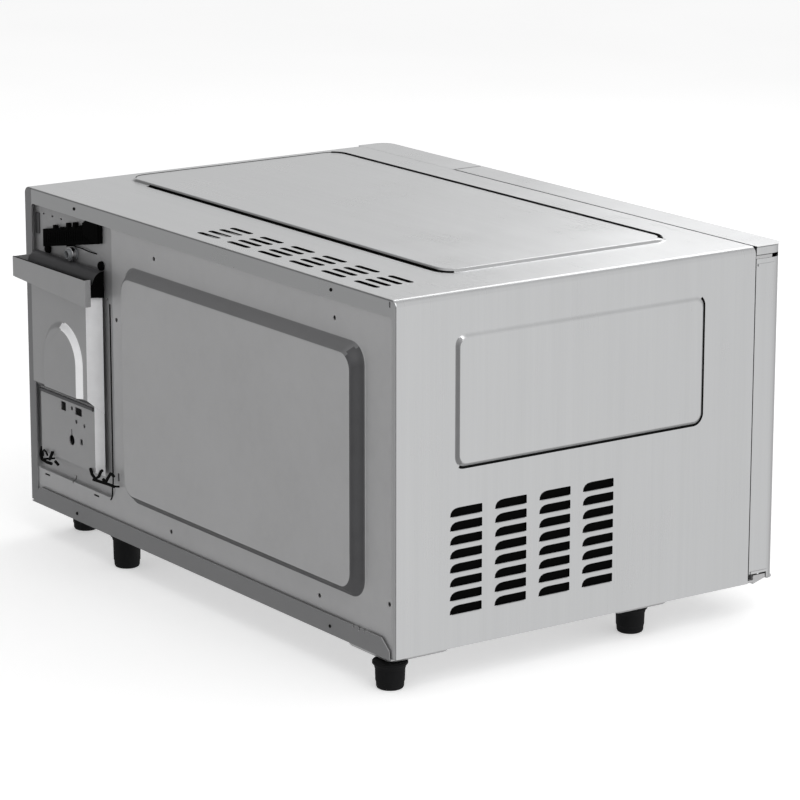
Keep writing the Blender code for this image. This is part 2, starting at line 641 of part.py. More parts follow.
def duct_arch(inset):
    """The pointed bulge on the duct's front, standing on its slanted lip."""
    base = REAR_Y + DUCT_DEPTH - inset
    low, half_width = DUCT_LIP_HIGH + GAP + inset, ARCH_HALF - inset
    reach = (half_width ** 2 + ARCH_HEIGHT ** 2) / (2 * half_width)
    tip = math.degrees(math.asin(min(1.0, ARCH_HEIGHT / reach)))

    def outline(shrink):
        radius = reach - shrink
        left = arc((ARCH_X - half_width + reach, ARCH_SPRING), radius, 180, 180 - tip, 5)
        right = arc((ARCH_X + half_width - reach, ARCH_SPRING), radius, tip, 0, 5)
        return [(ARCH_X - half_width + shrink, low), *left, *right, (ARCH_X + half_width - shrink, low)]

    return loft("Y", (base - 0.5, outline(0.0)), (base, outline(0.0)),
                (base + ARCH_RISE, outline(ARCH_BEVEL)))


def make_hood():
    """The trough round the duct's top: a front lip, a floor, a full left return and a short right one."""
    back, front = PANEL_Y + GAP, REAR_Y + HOOD_DEPTH
    low_left, low_right = HOOD_LOW - HOOD_SLOPE, HOOD_LOW + HOOD_SLOPE
    outer = prism("Y", back, front, [(HOOD_LEFT, low_left), (HOOD_RIGHT, low_right),
                                     (HOOD_RIGHT, HOOD_HIGH), (HOOD_LEFT, HOOD_HIGH)])
    left, right, high = HOOD_LEFT + SHEET, HOOD_RIGHT - SHEET, HOOD_HIGH + PAST
    inner = prism("Y", back - PAST, front - SHEET, [(left, low_left + SHEET), (right, low_right + SHEET),
                                                    (right, high), (left, high)])
    clear = GAP + 0.1
    duct_way = box(DUCT_LEFT - clear, DUCT_RIGHT + clear, back - PAST, REAR_Y + DUCT_DEPTH + clear,
                   low_left - PAST, high)
    cut_away = box(HOOD_LEFT - PAST, HOOD_LEFT + SHEET + PAST, back - PAST, front - HOOD_RETURN,
                   low_left - PAST, high)
    part("duct_hood", "zinc_steel", cut(cut(outer, inner), duct_way, cut_away))


def make_duct_roll():
    """The rolled plate that closes the duct's top against the rear panel."""
    centre = (PANEL_Y + GAP, DUCT_TOP + SHEET)
    outer = arc(centre, ROLL_RADIUS, 0, 90, 5)
    inner = arc(centre, ROLL_RADIUS - SHEET, 90, 0, 5)
    part("duct_roll", "zinc_steel",
         prism("X", DUCT_LEFT - ROLL_OVERHANG, HOOD_RIGHT - ROLL_OVERHANG, outer + inner))


# ---- Front frame, hinges and door ----

def through_frame(x0, x1, z0, z1):
    return box(x0, x1, FRONT_Y - PAST, FRONT_Y + SHEET + PAST, z0, z1)


def make_front_frame():
    plate = box(-FRAME_HALF, FRAME_HALF, FRONT_Y, FRONT_Y + SHEET, FRAME_LOW, FRAME_HIGH)
    ways = [through_frame(CHAMBER_LEFT, CHAMBER_RIGHT, CHAMBER_LOW, CHAMBER_HIGH),
            through_frame(*WIRING_WAY),
            through_frame(-HALF_WIDTH, NOTCH_RIGHT, UPPER_BRACKET[0] - GAP, UPPER_BRACKET[1] + GAP)]
    ways += [through_frame(TONGUE_X - 4.5, TONGUE_X + 4.5, z - 8.0, z + 8.0) for z in TONGUE_HEIGHTS]
    part("front_frame", "zinc_steel", cut(plate, *ways))


def make_hinges():
    """The lower bracket has a tapered boss under the door; the upper one's edge is in the door's side."""
    wall = -HALF_WIDTH + SHEET + 0.4
    plate = box(wall, BRACKET_RIGHT, HINGE_Y, BRACKET_REAR, *LOWER_BRACKET)
    boss = prism("X", wall, BRACKET_RIGHT, list(LOWER_BOSS))
    part("hinge_bracket_bottom", "zinc_steel", joined(plate, boss))
    edge = -HALF_WIDTH + 0.5
    step = FRONT_Y - SHEET
    upper = [(edge, BRACKET_FRONT + 2.0), (edge + 2.0, BRACKET_FRONT), (BRACKET_RIGHT, BRACKET_FRONT),
             (BRACKET_RIGHT, BRACKET_REAR), (wall, BRACKET_REAR), (wall, step), (edge, step)]
    part("hinge_bracket_top", "zinc_steel", prism("Z", *UPPER_BRACKET, upper))
    for label, (low, high) in PINS.items():
        pin = turned("Z", (HINGE_X, HINGE_Y), [(low, PIN_RADIUS), (high, PIN_RADIUS)], 12)
        part("hinge_pin_" + label, "chrome", pin)


def door_plan(inset, back):
    """The door seen from above, with its hinge-side front edge rounded."""
    radius = CORNER_RADIUS - inset
    left, right, front = -HALF_WIDTH + inset, DOOR_RIGHT - inset, DOOR_FRONT + inset
    corner = arc((left + radius, front + radius), radius, 180, 270, 6)
    return [(left, back)] + corner + [(right, front), (right, back)]


def hinge_notches():
    """Cutters for the two notches that the brackets stand in while the door turns round them."""
    left, rear = -HALF_WIDTH - PAST, DOOR_BACK + PAST
    return [box(left, NOTCH_RIGHT, LOWER_NOTCH[0], rear, DOOR_LOW - PAST, LOWER_NOTCH[1]),
            box(left, NOTCH_RIGHT, UPPER_NOTCH[0], rear, UPPER_NOTCH[1], UPPER_NOTCH[2])]


def make_door_shell(pivot):
    shell = prism("Z", DOOR_LOW, DOOR_HIGH, door_plan(0.0, DOOR_BACK))
    hollow = prism("Z", DOOR_LOW + DOOR_SKIN, DOOR_HIGH - DOOR_SKIN, door_plan(DOOR_SKIN, DOOR_BACK + PAST))
    plates = [box(-HALF_WIDTH + SHEET / 2, NOTCH_RIGHT + SHEET, HINGE_PLATE_FRONT, HINGE_PLATE_REAR,
                  z - SHEET, z + SHEET) for z in HINGE_PLATES]
    window = prism("Y", DOOR_FRONT - PAST, DOOR_FRONT + DOOR_SKIN + PAST, rounded(*WINDOW, 10.0))
    pin_holes = [prism("Z", z - PAST, z + PAST, circle(HINGE_X, HINGE_Y, PIN_HOLE, 12))
                 for z in HINGE_PLATES]
    shell = joined(cut(shell, hollow), *plates)
    part("door_shell", "brushed_steel", cut(shell, window, *hinge_notches(), *pin_holes), pivot)


def make_door_inside(pivot):
    inset = DOOR_SKIN + GAP
    plate = box(-HALF_WIDTH + inset, DOOR_RIGHT - inset, DOOR_BACK - DOOR_SKIN, DOOR_BACK,
                DOOR_LOW + inset, DOOR_HIGH - inset)
    plug = prism("Y", DOOR_BACK - DOOR_SKIN / 2, DOOR_BACK + PLUG_DEPTH, rounded(*PLUG, 8.0))
    sight = prism("Y", DOOR_BACK - DOOR_SKIN - PAST, DOOR_BACK + PLUG_DEPTH + PAST, rounded(*SIGHT, 6.0))
    slots = [box(TONGUE_X - 3.0, TONGUE_X + 3.0, DOOR_BACK - DOOR_SKIN - PAST, DOOR_BACK + PAST,
                 z - 7.0, z + 7.0) for z in TONGUE_HEIGHTS]
    panel = cut(joined(plate, plug), sight, *slots, *hinge_notches())
    part("door_inner_panel", "enamel", panel, pivot)
    seal = ring("Y", DOOR_BACK + GAP, FRONT_Y - GAP, rounded(*SEAL_OUTER, 12.0),
                rounded(*grown(SEAL_OUTER, -SEAL_WIDTH), 8.0))
    part("door_seal", "silicone", seal, pivot)


def make_door_glass(pivot):
    thickness = 4.0
    front = DOOR_FRONT + DOOR_SKIN + GAP
    outer = prism("Y", front, front + thickness, rounded(*grown(WINDOW, 6.0), 10.0))
    part("door_glass_outer", "glass", outer, pivot)
    rear = DOOR_BACK + SHEET
    inner = prism("Y", rear, rear + thickness, rounded(*grown(SIGHT, -0.4), 5.6))
    part("door_glass_inner", "glass", inner, pivot)


def make_door():
    pivot = (HINGE_X, HINGE_Y, 0.0)
    make_door_shell(pivot)
    make_door_inside(pivot)
    make_door_glass(pivot)
    make_handle(pivot)
    make_tongues(pivot)


def make_handle(pivot):
    front = DOOR_FRONT - HANDLE_REACH
    outline = slot(HANDLE_X, front + HANDLE_THICKNESS / 2, HANDLE_WIDTH, HANDLE_THICKNESS, 5)
    part("handle_grip", "brushed_steel", prism("Z", HANDLE_LOW, HANDLE_HIGH, outline), pivot)
    for label, z in POST_HEIGHTS.items():
        profile = [(front + HANDLE_THICKNESS + GAP, POST_RADIUS), (DOOR_FRONT - 3.0, POST_RADIUS),
                   (DOOR_FRONT - 2.0, POST_FOOT), (DOOR_FRONT - GAP, POST_FOOT)]
        part("handle_post_" + label, "chrome", turned("Y", (HANDLE_X, z), profile, 14), pivot)


def tongue(z):
    root, tip = DOOR_BACK - 3.0, DOOR_BACK + TONGUE_REACH
    return prism("X", TONGUE_X - 1.5, TONGUE_X + 1.5,
                 [(root, z - 6.0), (tip, z - 5.0), (tip, z), (tip - 3.0, z + 5.0), (root, z + 6.0)])


def make_tongues(pivot):
    """The strike: a strip inside the door with two tongues that pass through the front frame."""
    strip = box(TONGUE_X - 5.0, TONGUE_X + 5.0, DOOR_BACK - 4.5, DOOR_BACK - 2.0,
                TONGUE_HEIGHTS[0] - 16.0, TONGUE_HEIGHTS[1] + 16.0)
    part("door_strike", "chrome", joined(strip, *[tongue(z) for z in TONGUE_HEIGHTS]), pivot)


# ---- Control panel ----

def fascia_plan(inset, back):
    radius = CORNER_RADIUS - inset
    left, right, front = PANEL_LEFT + inset, HALF_WIDTH - inset, DOOR_FRONT + inset
    corner = arc((right - radius, front + radius), radius, -90, 0, 6)
    return [(left, back), (left, front)] + corner + [(right, back)]


def key_outline(centre, margin):
    x, z = centre
    half_x, half_z = KEY_SIZE[0] / 2 + margin, KEY_SIZE[1] / 2 + margin
    return rounded(x - half_x, x + half_x, z - half_z, z + half_z, 2.5 + margin, 2)


def rocker_extent(margin):
    (x, z), (width, height) = ROCKER_CENTRE, ROCKER_SIZE
    half_x, half_z = width / 2 + margin, height / 2 + margin
    return (x - half_x, x + half_x, z - half_z, z + half_z)


def make_fascia():
    shell = prism("Z", DOOR_LOW, DOOR_HIGH, fascia_plan(0.0, FRONT_Y - GAP))
    hollow = prism("Z", DOOR_LOW + FASCIA_WALL, DOOR_HIGH - FASCIA_WALL,
                   fascia_plan(FASCIA_WALL, FRONT_Y + PAST))
    outlines = [rounded(*DISPLAY, 4.0), circle(*KNOB_CENTRE, 4.5, 14), rectangle(*rocker_extent(2.4))]
    outlines += [key_outline(centre, 0.4) for centre in KEY_CENTRES.values()]
    openings = [prism("Y", DOOR_FRONT - PAST, DOOR_FRONT + FASCIA_WALL + PAST, outline)
                for outline in outlines]
    part("control_fascia", "brushed_steel", cut(cut(shell, hollow), *openings))


def board_at(extent, depth):
    """A circuit board parallel to the front, its face at this depth behind the front plane."""
    y = DOOR_FRONT + depth
    return box(extent[0], extent[1], y, y + BOARD_THICKNESS, extent[2], extent[3])


def make_display():
    pane = prism("Y", DOOR_FRONT + GAP, DOOR_FRONT + 2.2, rounded(*grown(DISPLAY, -0.4), 3.6))
    part("display_window", "glass", pane)
    x0, x1, z0, z1 = grown(DISPLAY, -PAST)
    screen = box(x0, x1, DOOR_FRONT + 3.2, DOOR_FRONT + 8.5, z0, z1)
    part("display_module", "circuit", joined(board_at(DISPLAY_BOARD, 8.0), screen))


def make_keypad():
    x, z = KNOB_CENTRE
    encoder = box(x - ENCODER_HALF, x + ENCODER_HALF, DOOR_FRONT + 7.0, DOOR_FRONT + 14.0,
                  z - ENCODER_HALF, z + ENCODER_HALF)
    shaft_way = prism("Y", DOOR_FRONT + PAST, DOOR_FRONT + 12.0, circle(x, z, SHAFT_WAY, 12))
    part("keypad_board", "circuit", cut(joined(board_at(KEYPAD_BOARD, 6.0), encoder), shaft_way))
    finishes = {"key_start": "green_key", "key_stop": "red_key"}
    for name, centre in KEY_CENTRES.items():
        outline, rim = key_outline(centre, 0.0), key_outline(centre, -0.9)
        cap = loft("Y", (DOOR_FRONT + KEY_BACK, outline), (DOOR_FRONT - 1.4, outline),
                   (DOOR_FRONT - 2.2, rim))
        part(name, finishes.get(name, "grey_plastic"), cap, (centre[0], DOOR_FRONT, centre[1]))


def fluted(scale):
    """The knob's outline, with a groove between each flute and the next."""
    points = []
    for i in range(2 * KNOB_FLUTES):
        angle = math.pi * i / KNOB_FLUTES
        reach = (KNOB_RADIUS - KNOB_GROOVE * (i % 2)) * scale
        points.append((KNOB_CENTRE[0] + reach * math.cos(angle), KNOB_CENTRE[1] + reach * math.sin(angle)))
    return points


def make_knob():
    """A fluted knob on its shaft, which turns in the encoder."""
    x, z = KNOB_CENTRE
    front, back = DOOR_FRONT - KNOB_HEIGHT, DOOR_FRONT - 1.0
    body = loft("Y", (front, fluted(0.86)), (front + 2.0, fluted(0.93)), (back, fluted(1.0)))
    shaft = turned("Y", KNOB_CENTRE, [(back - 3.0, SHAFT_RADIUS), (DOOR_FRONT + 11.5, SHAFT_RADIUS)], 12)
    mark = box(x - 0.8, x + 0.8, front - PAST, front + 0.9, z + 5.0, z + KNOB_RADIUS + PAST)
    part("control_knob", "black_plastic", cut(joined(body, shaft), mark), (x, DOOR_FRONT, z))


def make_switch_housing():
    front, back = DOOR_FRONT - 1.5, DOOR_FRONT + SWITCH_DEPTH
    bezel = prism("Y", front, DOOR_FRONT - GAP, rounded(*rocker_extent(4.0), 2.0, 2))
    case = prism("Y", front + 0.5, back, rectangle(*rocker_extent(2.0)))
    well = prism("Y", front - PAST, back - 4.0, rectangle(*rocker_extent(0.4)))
    part("switch_housing", "black_plastic", cut(joined(bezel, case), well))


def make_rocker():
    """The power rocker, pressed to one side."""
    x, z = ROCKER_CENTRE
    half, pivot_y = ROCKER_SIZE[1] / 2 - 0.6, DOOR_FRONT + ROCKER_PIVOT
    rim = DOOR_FRONT - 0.7
    outline = [(rim, z - half), (rim - 1.4, z), (rim, z + half), (pivot_y + 1.5, z + half - 1.5),
               (pivot_y + 5.0, z), (pivot_y + 1.5, z - half + 1.5)]
    rocker = prism("X", x - ROCKER_SIZE[0] / 2, x + ROCKER_SIZE[0] / 2, outline)
    turn = Matrix.Rotation(math.radians(-ROCKER_TILT), 4, "X")
    pivot = Vector((x, pivot_y, z)) * MM
    rocker.transform(Matrix.Translation(pivot) @ turn @ Matrix.Translation(-pivot))
    part("power_rocker", "red_key", rocker, (x, pivot_y, z))


def make_interlock():
    """The switch that the upper tongue faces, with its sprung plunger."""
    z = TONGUE_HEIGHTS[1]
    tip = DOOR_BACK + TONGUE_REACH + GAP
    housing = box(TONGUE_X - 4.5, TONGUE_X + 7.0, tip + 4.0, tip + 24.0, z - 16.0, z + 6.0)
    centre = (TONGUE_X, z - 2.5)
    bore = prism("Y", tip + 2.0, tip + 16.0, circle(*centre, 2.4, 12))
    part("interlock_switch", "black_plastic", cut(housing, bore))
    plunger = turned("Y", centre, [(tip, 1.4), (tip + 1.0, 2.0), (tip + 12.0, 2.0)], 12)
    part("interlock_plunger", "red_key", plunger, (TONGUE_X, tip, z - 2.5))


# ---- Chamber ----

def make_chamber():
    shell = CHAMBER_SHEET
    outer = box(CHAMBER_LEFT - shell, CHAMBER_RIGHT + shell, FRONT_Y + SHEET + GAP, CHAMBER_REAR + shell,
                CHAMBER_LOW - shell, CHAMBER_HIGH + shell)
    inner = box(CHAMBER_LEFT, CHAMBER_RIGHT, FRONT_Y - PAST, CHAMBER_REAR, CHAMBER_LOW, CHAMBER_HIGH)
    shaft_way = prism("Y", CHAMBER_REAR - PAST, CHAMBER_REAR + PAST, circle(FAN_X, FAN_Z, 7.0, 12))
    probe_way = prism("X", CHAMBER_RIGHT - PAST, CHAMBER_RIGHT + PAST, circle(PROBE_Y, PROBE_Z, 2.2, 8))
    part("oven_chamber", "enamel", cut(cut(outer, inner), shaft_way, probe_way))


def make_insulation():
    """Mineral wool round the chamber and behind it, with ways for the probe and the motor."""
    outer, inner = rounded(*SLEEVE_OUTER, 12.0), rounded(*SLEEVE_INNER, 0.4)
    sleeve = ring("Y", FRONT_Y + 5.0, CHAMBER_REAR, outer, inner)
    probe_hole = circle(PROBE_Y, PROBE_Z, 4.0, 8)
    probe_way = prism("X", CHAMBER_RIGHT - PAST, SLEEVE_OUTER[1] + PAST, probe_hole)
    part("insulation_sleeve", "wool", cut(sleeve, probe_way))
    front = CHAMBER_REAR + CHAMBER_SHEET + 0.4
    slab = box(CHAMBER_LEFT - SHEET, CHAMBER_RIGHT + SHEET, front, front + SLAB_THICKNESS,
               CHAMBER_LOW - SHEET, CHAMBER_HIGH + SHEET)
    motor_way = prism("Y", front - PAST, front + SLAB_THICKNESS + PAST, circle(FAN_X, FAN_Z, 30.0, 16))
    part("insulation_rear", "wool", cut(slab, motor_way))


def make_fan_baffle():
    """The sheet in front of the fan: a rose of intake holes and a column of outlets at each end."""
    plate = box(CHAMBER_LEFT + PAST, CHAMBER_RIGHT - PAST, BAFFLE_Y, BAFFLE_Y + SHEET,
                CHAMBER_LOW + PAST, CHAMBER_HIGH - PAST)
    outlines = [circle(FAN_X, FAN_Z, BAFFLE_HOLE, 8)]
    for reach, count in BAFFLE_RINGS:
        for x, z in circle(FAN_X, FAN_Z, reach, count):
            outlines.append(circle(x, z, BAFFLE_HOLE, 8))
    for x in (CHAMBER_LEFT + BAFFLE_OUTLET_INSET, CHAMBER_RIGHT - BAFFLE_OUTLET_INSET):
        for i in range(BAFFLE_OUTLETS):
            z = BAFFLE_OUTLET_LOW + i * BAFFLE_OUTLET_STEP
            outlines.append(slot(x, z, BAFFLE_OUTLET_LENGTH, BAFFLE_OUTLET_HEIGHT, 2))
    holes = [prism("Y", BAFFLE_Y - PAST, BAFFLE_Y + SHEET + PAST, outline) for outline in outlines]
    part("fan_baffle", "enamel", cut(plate, *holes))


def paddle_wheel(centre, y, radius, depth, blades, hub):
    """A hub with radial blades, as one solid, turning on Y."""
    wheel = turned("Y", centre, [(y, hub), (y + depth, hub)], 16)
    move = Matrix.Translation(Vector((centre[0], 0.0, centre[1])) * MM)
    for i in range(blades):
        blade = box(hub - 2.0, radius, y + 1.0, y + depth - 1.0, -0.8, 0.8)
        blade.transform(move @ Matrix.Rotation(math.radians(360.0 * i / blades), 4, "Y"))
        wheel = joined(wheel, blade)
    return wheel


def make_convection_fan():
    centre, rear = (FAN_X, FAN_Z), FAN_Y + FAN_DEPTH
    wheel = paddle_wheel(centre, FAN_Y, FAN_RADIUS, FAN_DEPTH, FAN_BLADES, FAN_HUB)
    disc = turned("Y", centre, [(rear - 2.0, FAN_RADIUS - 3.0), (rear - 0.4, FAN_RADIUS - 3.0)], 24)
    shaft = turned("Y", centre, [(rear - 3.0, SHAFT_RADIUS), (CHAMBER_REAR + 21.0, SHAFT_RADIUS)], 12)
    part("convection_fan", "aluminium", joined(wheel, disc, shaft), (FAN_X, FAN_Y, FAN_Z))


def make_convection_motor():
    centre = (FAN_X, FAN_Z)
    profile = [(CHAMBER_REAR + 13.0, MOTOR_NECK), (CHAMBER_REAR + 17.0, MOTOR_NECK),
               (CHAMBER_REAR + 17.0, MOTOR_RADIUS), (CHAMBER_REAR + 45.0, MOTOR_RADIUS),
               (CHAMBER_REAR + 48.0, MOTOR_CAP)]
    shaft_way = prism("Y", CHAMBER_REAR + 10.0, CHAMBER_REAR + 24.0, circle(*centre, SHAFT_WAY, 12))
    part("convection_motor", "zinc_steel", cut(turned("Y", centre, profile, 18), shaft_way))


def make_heaters():
    """Two quartz tubes above the tray and two below, each in its ceramic ends."""
    left, right = CHAMBER_LEFT + PAST, CHAMBER_RIGHT - PAST
    inner_left, inner_right = left + HEATER_END_LENGTH, right - HEATER_END_LENGTH
    profile = [(left, HEATER_END_RADIUS), (inner_left, HEATER_END_RADIUS), (inner_left, HEATER_RADIUS),
               (inner_right, HEATER_RADIUS), (inner_right, HEATER_END_RADIUS), (right, HEATER_END_RADIUS)]
    levels = {"upper": CHAMBER_HIGH - HEATER_INSET, "lower": CHAMBER_LOW + HEATER_INSET}
    for level, z in levels.items():
        for where, y in HEATER_Y.items():
            part("heater_" + level + "_" + where, "quartz", turned("X", (y, z), profile, 14))


def make_rails():
    low = TRAY_Z - 4.0
    for label, wall, way in (("left", CHAMBER_LEFT + 0.4, 1), ("right", CHAMBER_RIGHT - 0.4, -1)):
        tip, inner = wall + RAIL_SHELF * way, wall + RAIL_SHEET * way
        outline = [(wall, low), (tip, low), (tip, low + RAIL_SHEET), (inner, low + RAIL_SHEET),
                   (inner, low + RAIL_HEIGHT), (wall, low + RAIL_HEIGHT)]
        part("tray_rail_" + label, "chrome", prism("Y", RAIL_FRONT, RAIL_REAR, outline))


def make_tray():
    x0, x1 = CHAMBER_LEFT + 4.0, CHAMBER_RIGHT - 4.0
    low = TRAY_Z - 2.2
    floor = box(x0, x1, TRAY_FRONT, TRAY_REAR, low, low + TRAY_THICKNESS)
    lip = box(x0 + 12.0, x1 - 12.0, TRAY_FRONT, TRAY_FRONT + 1.5, low + 1.0, low + TRAY_LIP)
    cutters = []
    for i in range(TRAY_SLOT_COUNT):
        x = x0 + 16.0 + i * TRAY_SLOT_PITCH
        outline = rounded(x, x + TRAY_SLOT_WIDTH, TRAY_FRONT + 14.0, TRAY_REAR - 10.0, 6.0, 2)
        cutters.append(prism("Z", low - PAST, low + TRAY_THICKNESS + PAST, outline))
    part("pcb_tray", "chrome", cut(joined(floor, lip), *cutters))


def make_probe():
    profile = [(48.0, 0.8), (50.0, 1.5), (SLEEVE_OUTER[1] + 0.5, 1.5)]
    part("thermocouple_probe", "chrome", turned("X", (PROBE_Y, PROBE_Z), profile, 10))


# ---- Electronics compartment ----

def make_compartment_wall():
    wall = box(WALL_X, WALL_X + SHEET, FRONT_Y + 3.0, REAR_Y - 8.0, 1.0, BODY_HEIGHT - 4.0)
    low = TONGUE_HEIGHTS[0]
    through = (WALL_X - PAST, WALL_X + SHEET + PAST)
    tongue_way = box(*through, FRONT_Y, FRONT_Y + 28.0, low - 14.0, low + 14.0)
    probe_way = prism("X", *through, circle(PROBE_Y, PROBE_Z, 5.0, 8))
    part("compartment_wall", "zinc_steel", cut(wall, tongue_way, probe_way))


def make_controller_board():
    """The board with a relay, a choke, a capacitor, a terminal block and a processor on it."""
    face = WALL_X + 6.0
    y0, y1, z0, z1 = CONTROLLER_BOARD
    board = box(face - SHEET, face - SHEET + BOARD_THICKNESS, y0, y1, z0, z1)
    relay = box(face, face + 18.0, y0 + 10.0, y0 + 40.0, z1 - 50.0, z1 - 10.0)
    choke = turned("X", (10.0, 222.0), [(face, 13.0), (face + 20.0, 13.0)], 16)
    capacitor = turned("X", (-25.0, 225.0), [(face, 9.0), (face + 30.0, 9.0)], 14)
    terminals = box(face, face + 12.0, y0 + 20.0, y1 - 20.0, z0 + 6.0, z0 + 18.0)
    processor = box(face, face + 3.0, y0 + 35.0, y1 - 60.0, z0 + 50.0, z0 + 75.0)
    board = joined(board, relay, choke, capacitor, terminals, processor)
    part("controller_board", "circuit", board)


def make_transformer():
    part("power_transformer", "laminate", joined(box(*TRANSFORMER_CORE), box(*TRANSFORMER_COIL)))


def make_heatsink():
    """A finned block under the solid-state relay that switches the heaters."""
    x0, x1, y0, y1, z0, z1 = HEATSINK
    slots = []
    for i in range(HEATSINK_FINS):
        x = x0 + 5.0 + i * HEATSINK_PITCH
        slots.append(box(x, x + HEATSINK_SLOT, y0 - PAST, y1 + PAST, z0 + HEATSINK_BASE, z1 + PAST))
    part("relay_heatsink", "aluminium", cut(box(*HEATSINK), *slots))


def sector(inner, outer, start, end):
    centre = (EXHAUST_X, EXHAUST_Z)
    return arc(centre, outer, start, end, 5) + arc(centre, inner, end, start, 3)


def make_exhaust_fan():
    """A fan behind the duct: a square frame with four air ways in its front, and a rotor in its bore."""
    y0, y1, half = EXHAUST_FRONT, EXHAUST_REAR, EXHAUST_HALF
    square = (EXHAUST_X - half, EXHAUST_X + half, EXHAUST_Z - half, EXHAUST_Z + half)
    frame = prism("Y", y0, y1, rounded(*square, 4.0, 2))
    bore = prism("Y", y0 + 3.5, y1 + PAST, circle(EXHAUST_X, EXHAUST_Z, EXHAUST_BORE, 24))
    inlets = []
    for i in range(4):
        outline = sector(14.0, 36.0, 90.0 * i + SPOKE_ANGLE, 90.0 * (i + 1) - SPOKE_ANGLE)
        inlets.append(prism("Y", y0 - PAST, y0 + 6.0, outline))
    part("exhaust_fan_frame", "black_plastic", cut(cut(frame, bore), *inlets))
    rotor_y = y0 + 5.0
    rotor = paddle_wheel((EXHAUST_X, EXHAUST_Z), rotor_y, ROTOR_RADIUS, ROTOR_DEPTH, ROTOR_BLADES,
                         ROTOR_HUB)
    part("exhaust_fan_rotor", "black_plastic", rotor, (EXHAUST_X, rotor_y, EXHAUST_Z))


def clear_scene():
    for obj in list(bpy.data.objects):
        bpy.data.objects.remove(obj)


def main():
    clear_scene()
    make_wrapper()
    make_base()
    make_feet()
    make_rear_panel()
    make_grille()
    make_gland()
    make_duct()
    make_hood()
    make_duct_roll()
    make_front_frame()
    make_hinges()
    make_door()
    make_fascia()
    make_display()
    make_keypad()
    make_knob()
    make_switch_housing()
    make_rocker()
    make_interlock()
    make_chamber()
    make_insulation()
    make_fan_baffle()
    make_convection_fan()
    make_convection_motor()
    make_heaters()
    make_rails()
    make_tray()
    make_probe()
    make_compartment_wall()
    make_controller_board()
    make_transformer()
    make_heatsink()
    make_exhaust_fan()


main()
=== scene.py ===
"""The bench reflow oven's looks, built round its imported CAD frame.

Sizes are in millimetres of the oven's own drawing: X to the user's right, Y to the rear and Z up, with
zero in the middle of the cabinet near its underside. ORIGIN moves a finished piece into the row's frame.
"""

import json
import math

import bmesh
import bpy
from mathutils import Matrix, Vector


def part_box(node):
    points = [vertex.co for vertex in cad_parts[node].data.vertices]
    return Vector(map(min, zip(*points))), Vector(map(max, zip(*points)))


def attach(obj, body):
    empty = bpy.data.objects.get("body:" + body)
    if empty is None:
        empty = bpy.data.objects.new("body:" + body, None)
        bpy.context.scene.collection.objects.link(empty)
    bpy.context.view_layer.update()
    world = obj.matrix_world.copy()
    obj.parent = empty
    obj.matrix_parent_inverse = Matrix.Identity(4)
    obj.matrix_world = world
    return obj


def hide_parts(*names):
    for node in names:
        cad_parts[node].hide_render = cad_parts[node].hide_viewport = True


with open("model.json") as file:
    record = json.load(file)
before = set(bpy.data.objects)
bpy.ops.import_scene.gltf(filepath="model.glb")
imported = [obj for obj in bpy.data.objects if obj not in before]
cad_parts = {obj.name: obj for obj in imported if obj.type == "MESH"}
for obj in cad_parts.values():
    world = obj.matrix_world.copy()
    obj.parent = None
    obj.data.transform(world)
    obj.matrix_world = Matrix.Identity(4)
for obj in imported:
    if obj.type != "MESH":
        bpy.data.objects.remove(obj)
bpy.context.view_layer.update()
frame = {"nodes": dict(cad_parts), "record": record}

MM = 0.001
GAP = 0.3
SHEET = 1.0

# Cabinet
HALF_WIDTH = 290.0
BODY_HEIGHT = 290.0
FRONT_Y = -161.0
REAR_Y = 201.0
SKIRT = 0.4  # the height of the sides' lower edges
TOP_BEND = 6.0
REAR_BEND = 1.6
FLANGE_DROP = 14.0
RIGHT_FLANGE = 12.5
LEFT_FLANGE = 4.0
EMBOSS_RISE = 2.5
EMBOSS_BEVEL = 4.0
SIDE_EMBOSS = (-107.0, 144.5, 148.0, 256.5)
SIDE_EMBOSS_RADIUS = 9.0
TOP_EMBOSS = (-232.0, 268.0, -123.0, 111.0)
TOP_EMBOSS_RADIUS = 18.0
REAR_CREASE, FRONT_CREASE, SHORT_CREASE, SIDE_CREASE = 1.92, 2.76, 0.48, 1.2  # half widths
CREASE_DEPTH = 0.6
SHOULDER_DEPTH = 0.8
EDGE_ROOM = 15.0  # nearer than this to a sheet's edge no shade is painted

# Side louvres, intake slots and top vents
LOUVRE_FIRST, LOUVRE_STEP, LOUVRE_COLUMNS = 0.4, 44.1, 4
LOUVRE_TOP, LOUVRE_PITCH, LOUVRE_ROWS = 116.0, 11.5, 8
LOUVRE_LENGTH, LOUVRE_HEIGHT = 31.5, 7.2
INTAKE_FIRST, INTAKE_PITCH, INTAKE_COUNT = -60.0, 9.0, 8
INTAKE_WIDTH, INTAKE_LOW, INTAKE_HIGH = 4.0, 48.0, 94.0
VENT_FIRST, VENT_PITCH, VENT_COLUMNS = -225.5, 46.6, 6
VENT_LENGTH, VENT_WIDTH = 32.0, 5.6
VENT_NEAR, VENT_STEP, VENT_ROWS = 151.0, 10.8, 4

# Base plate
BASE_HALF = 286.0
BASE_REAR = REAR_Y + 1.3
BASE_FLANGE = ((-283.0, -1.0), (283.0, -1.0), (283.0, 6.0), (272.0, 15.0), (-272.0, 15.0),
               (-283.0, 6.0))
PADS = ((-276.0, -206.0, 130.0, 197.0), (214.0, 284.0, 124.0, 191.0),
        (-276.0, -206.0, -95.0, -30.0), (206.0, 276.0, -95.0, -30.0))
PAD_DEPTH, PAD_BEVEL, PAD_RADIUS = 7.5, 5.0, 9.0

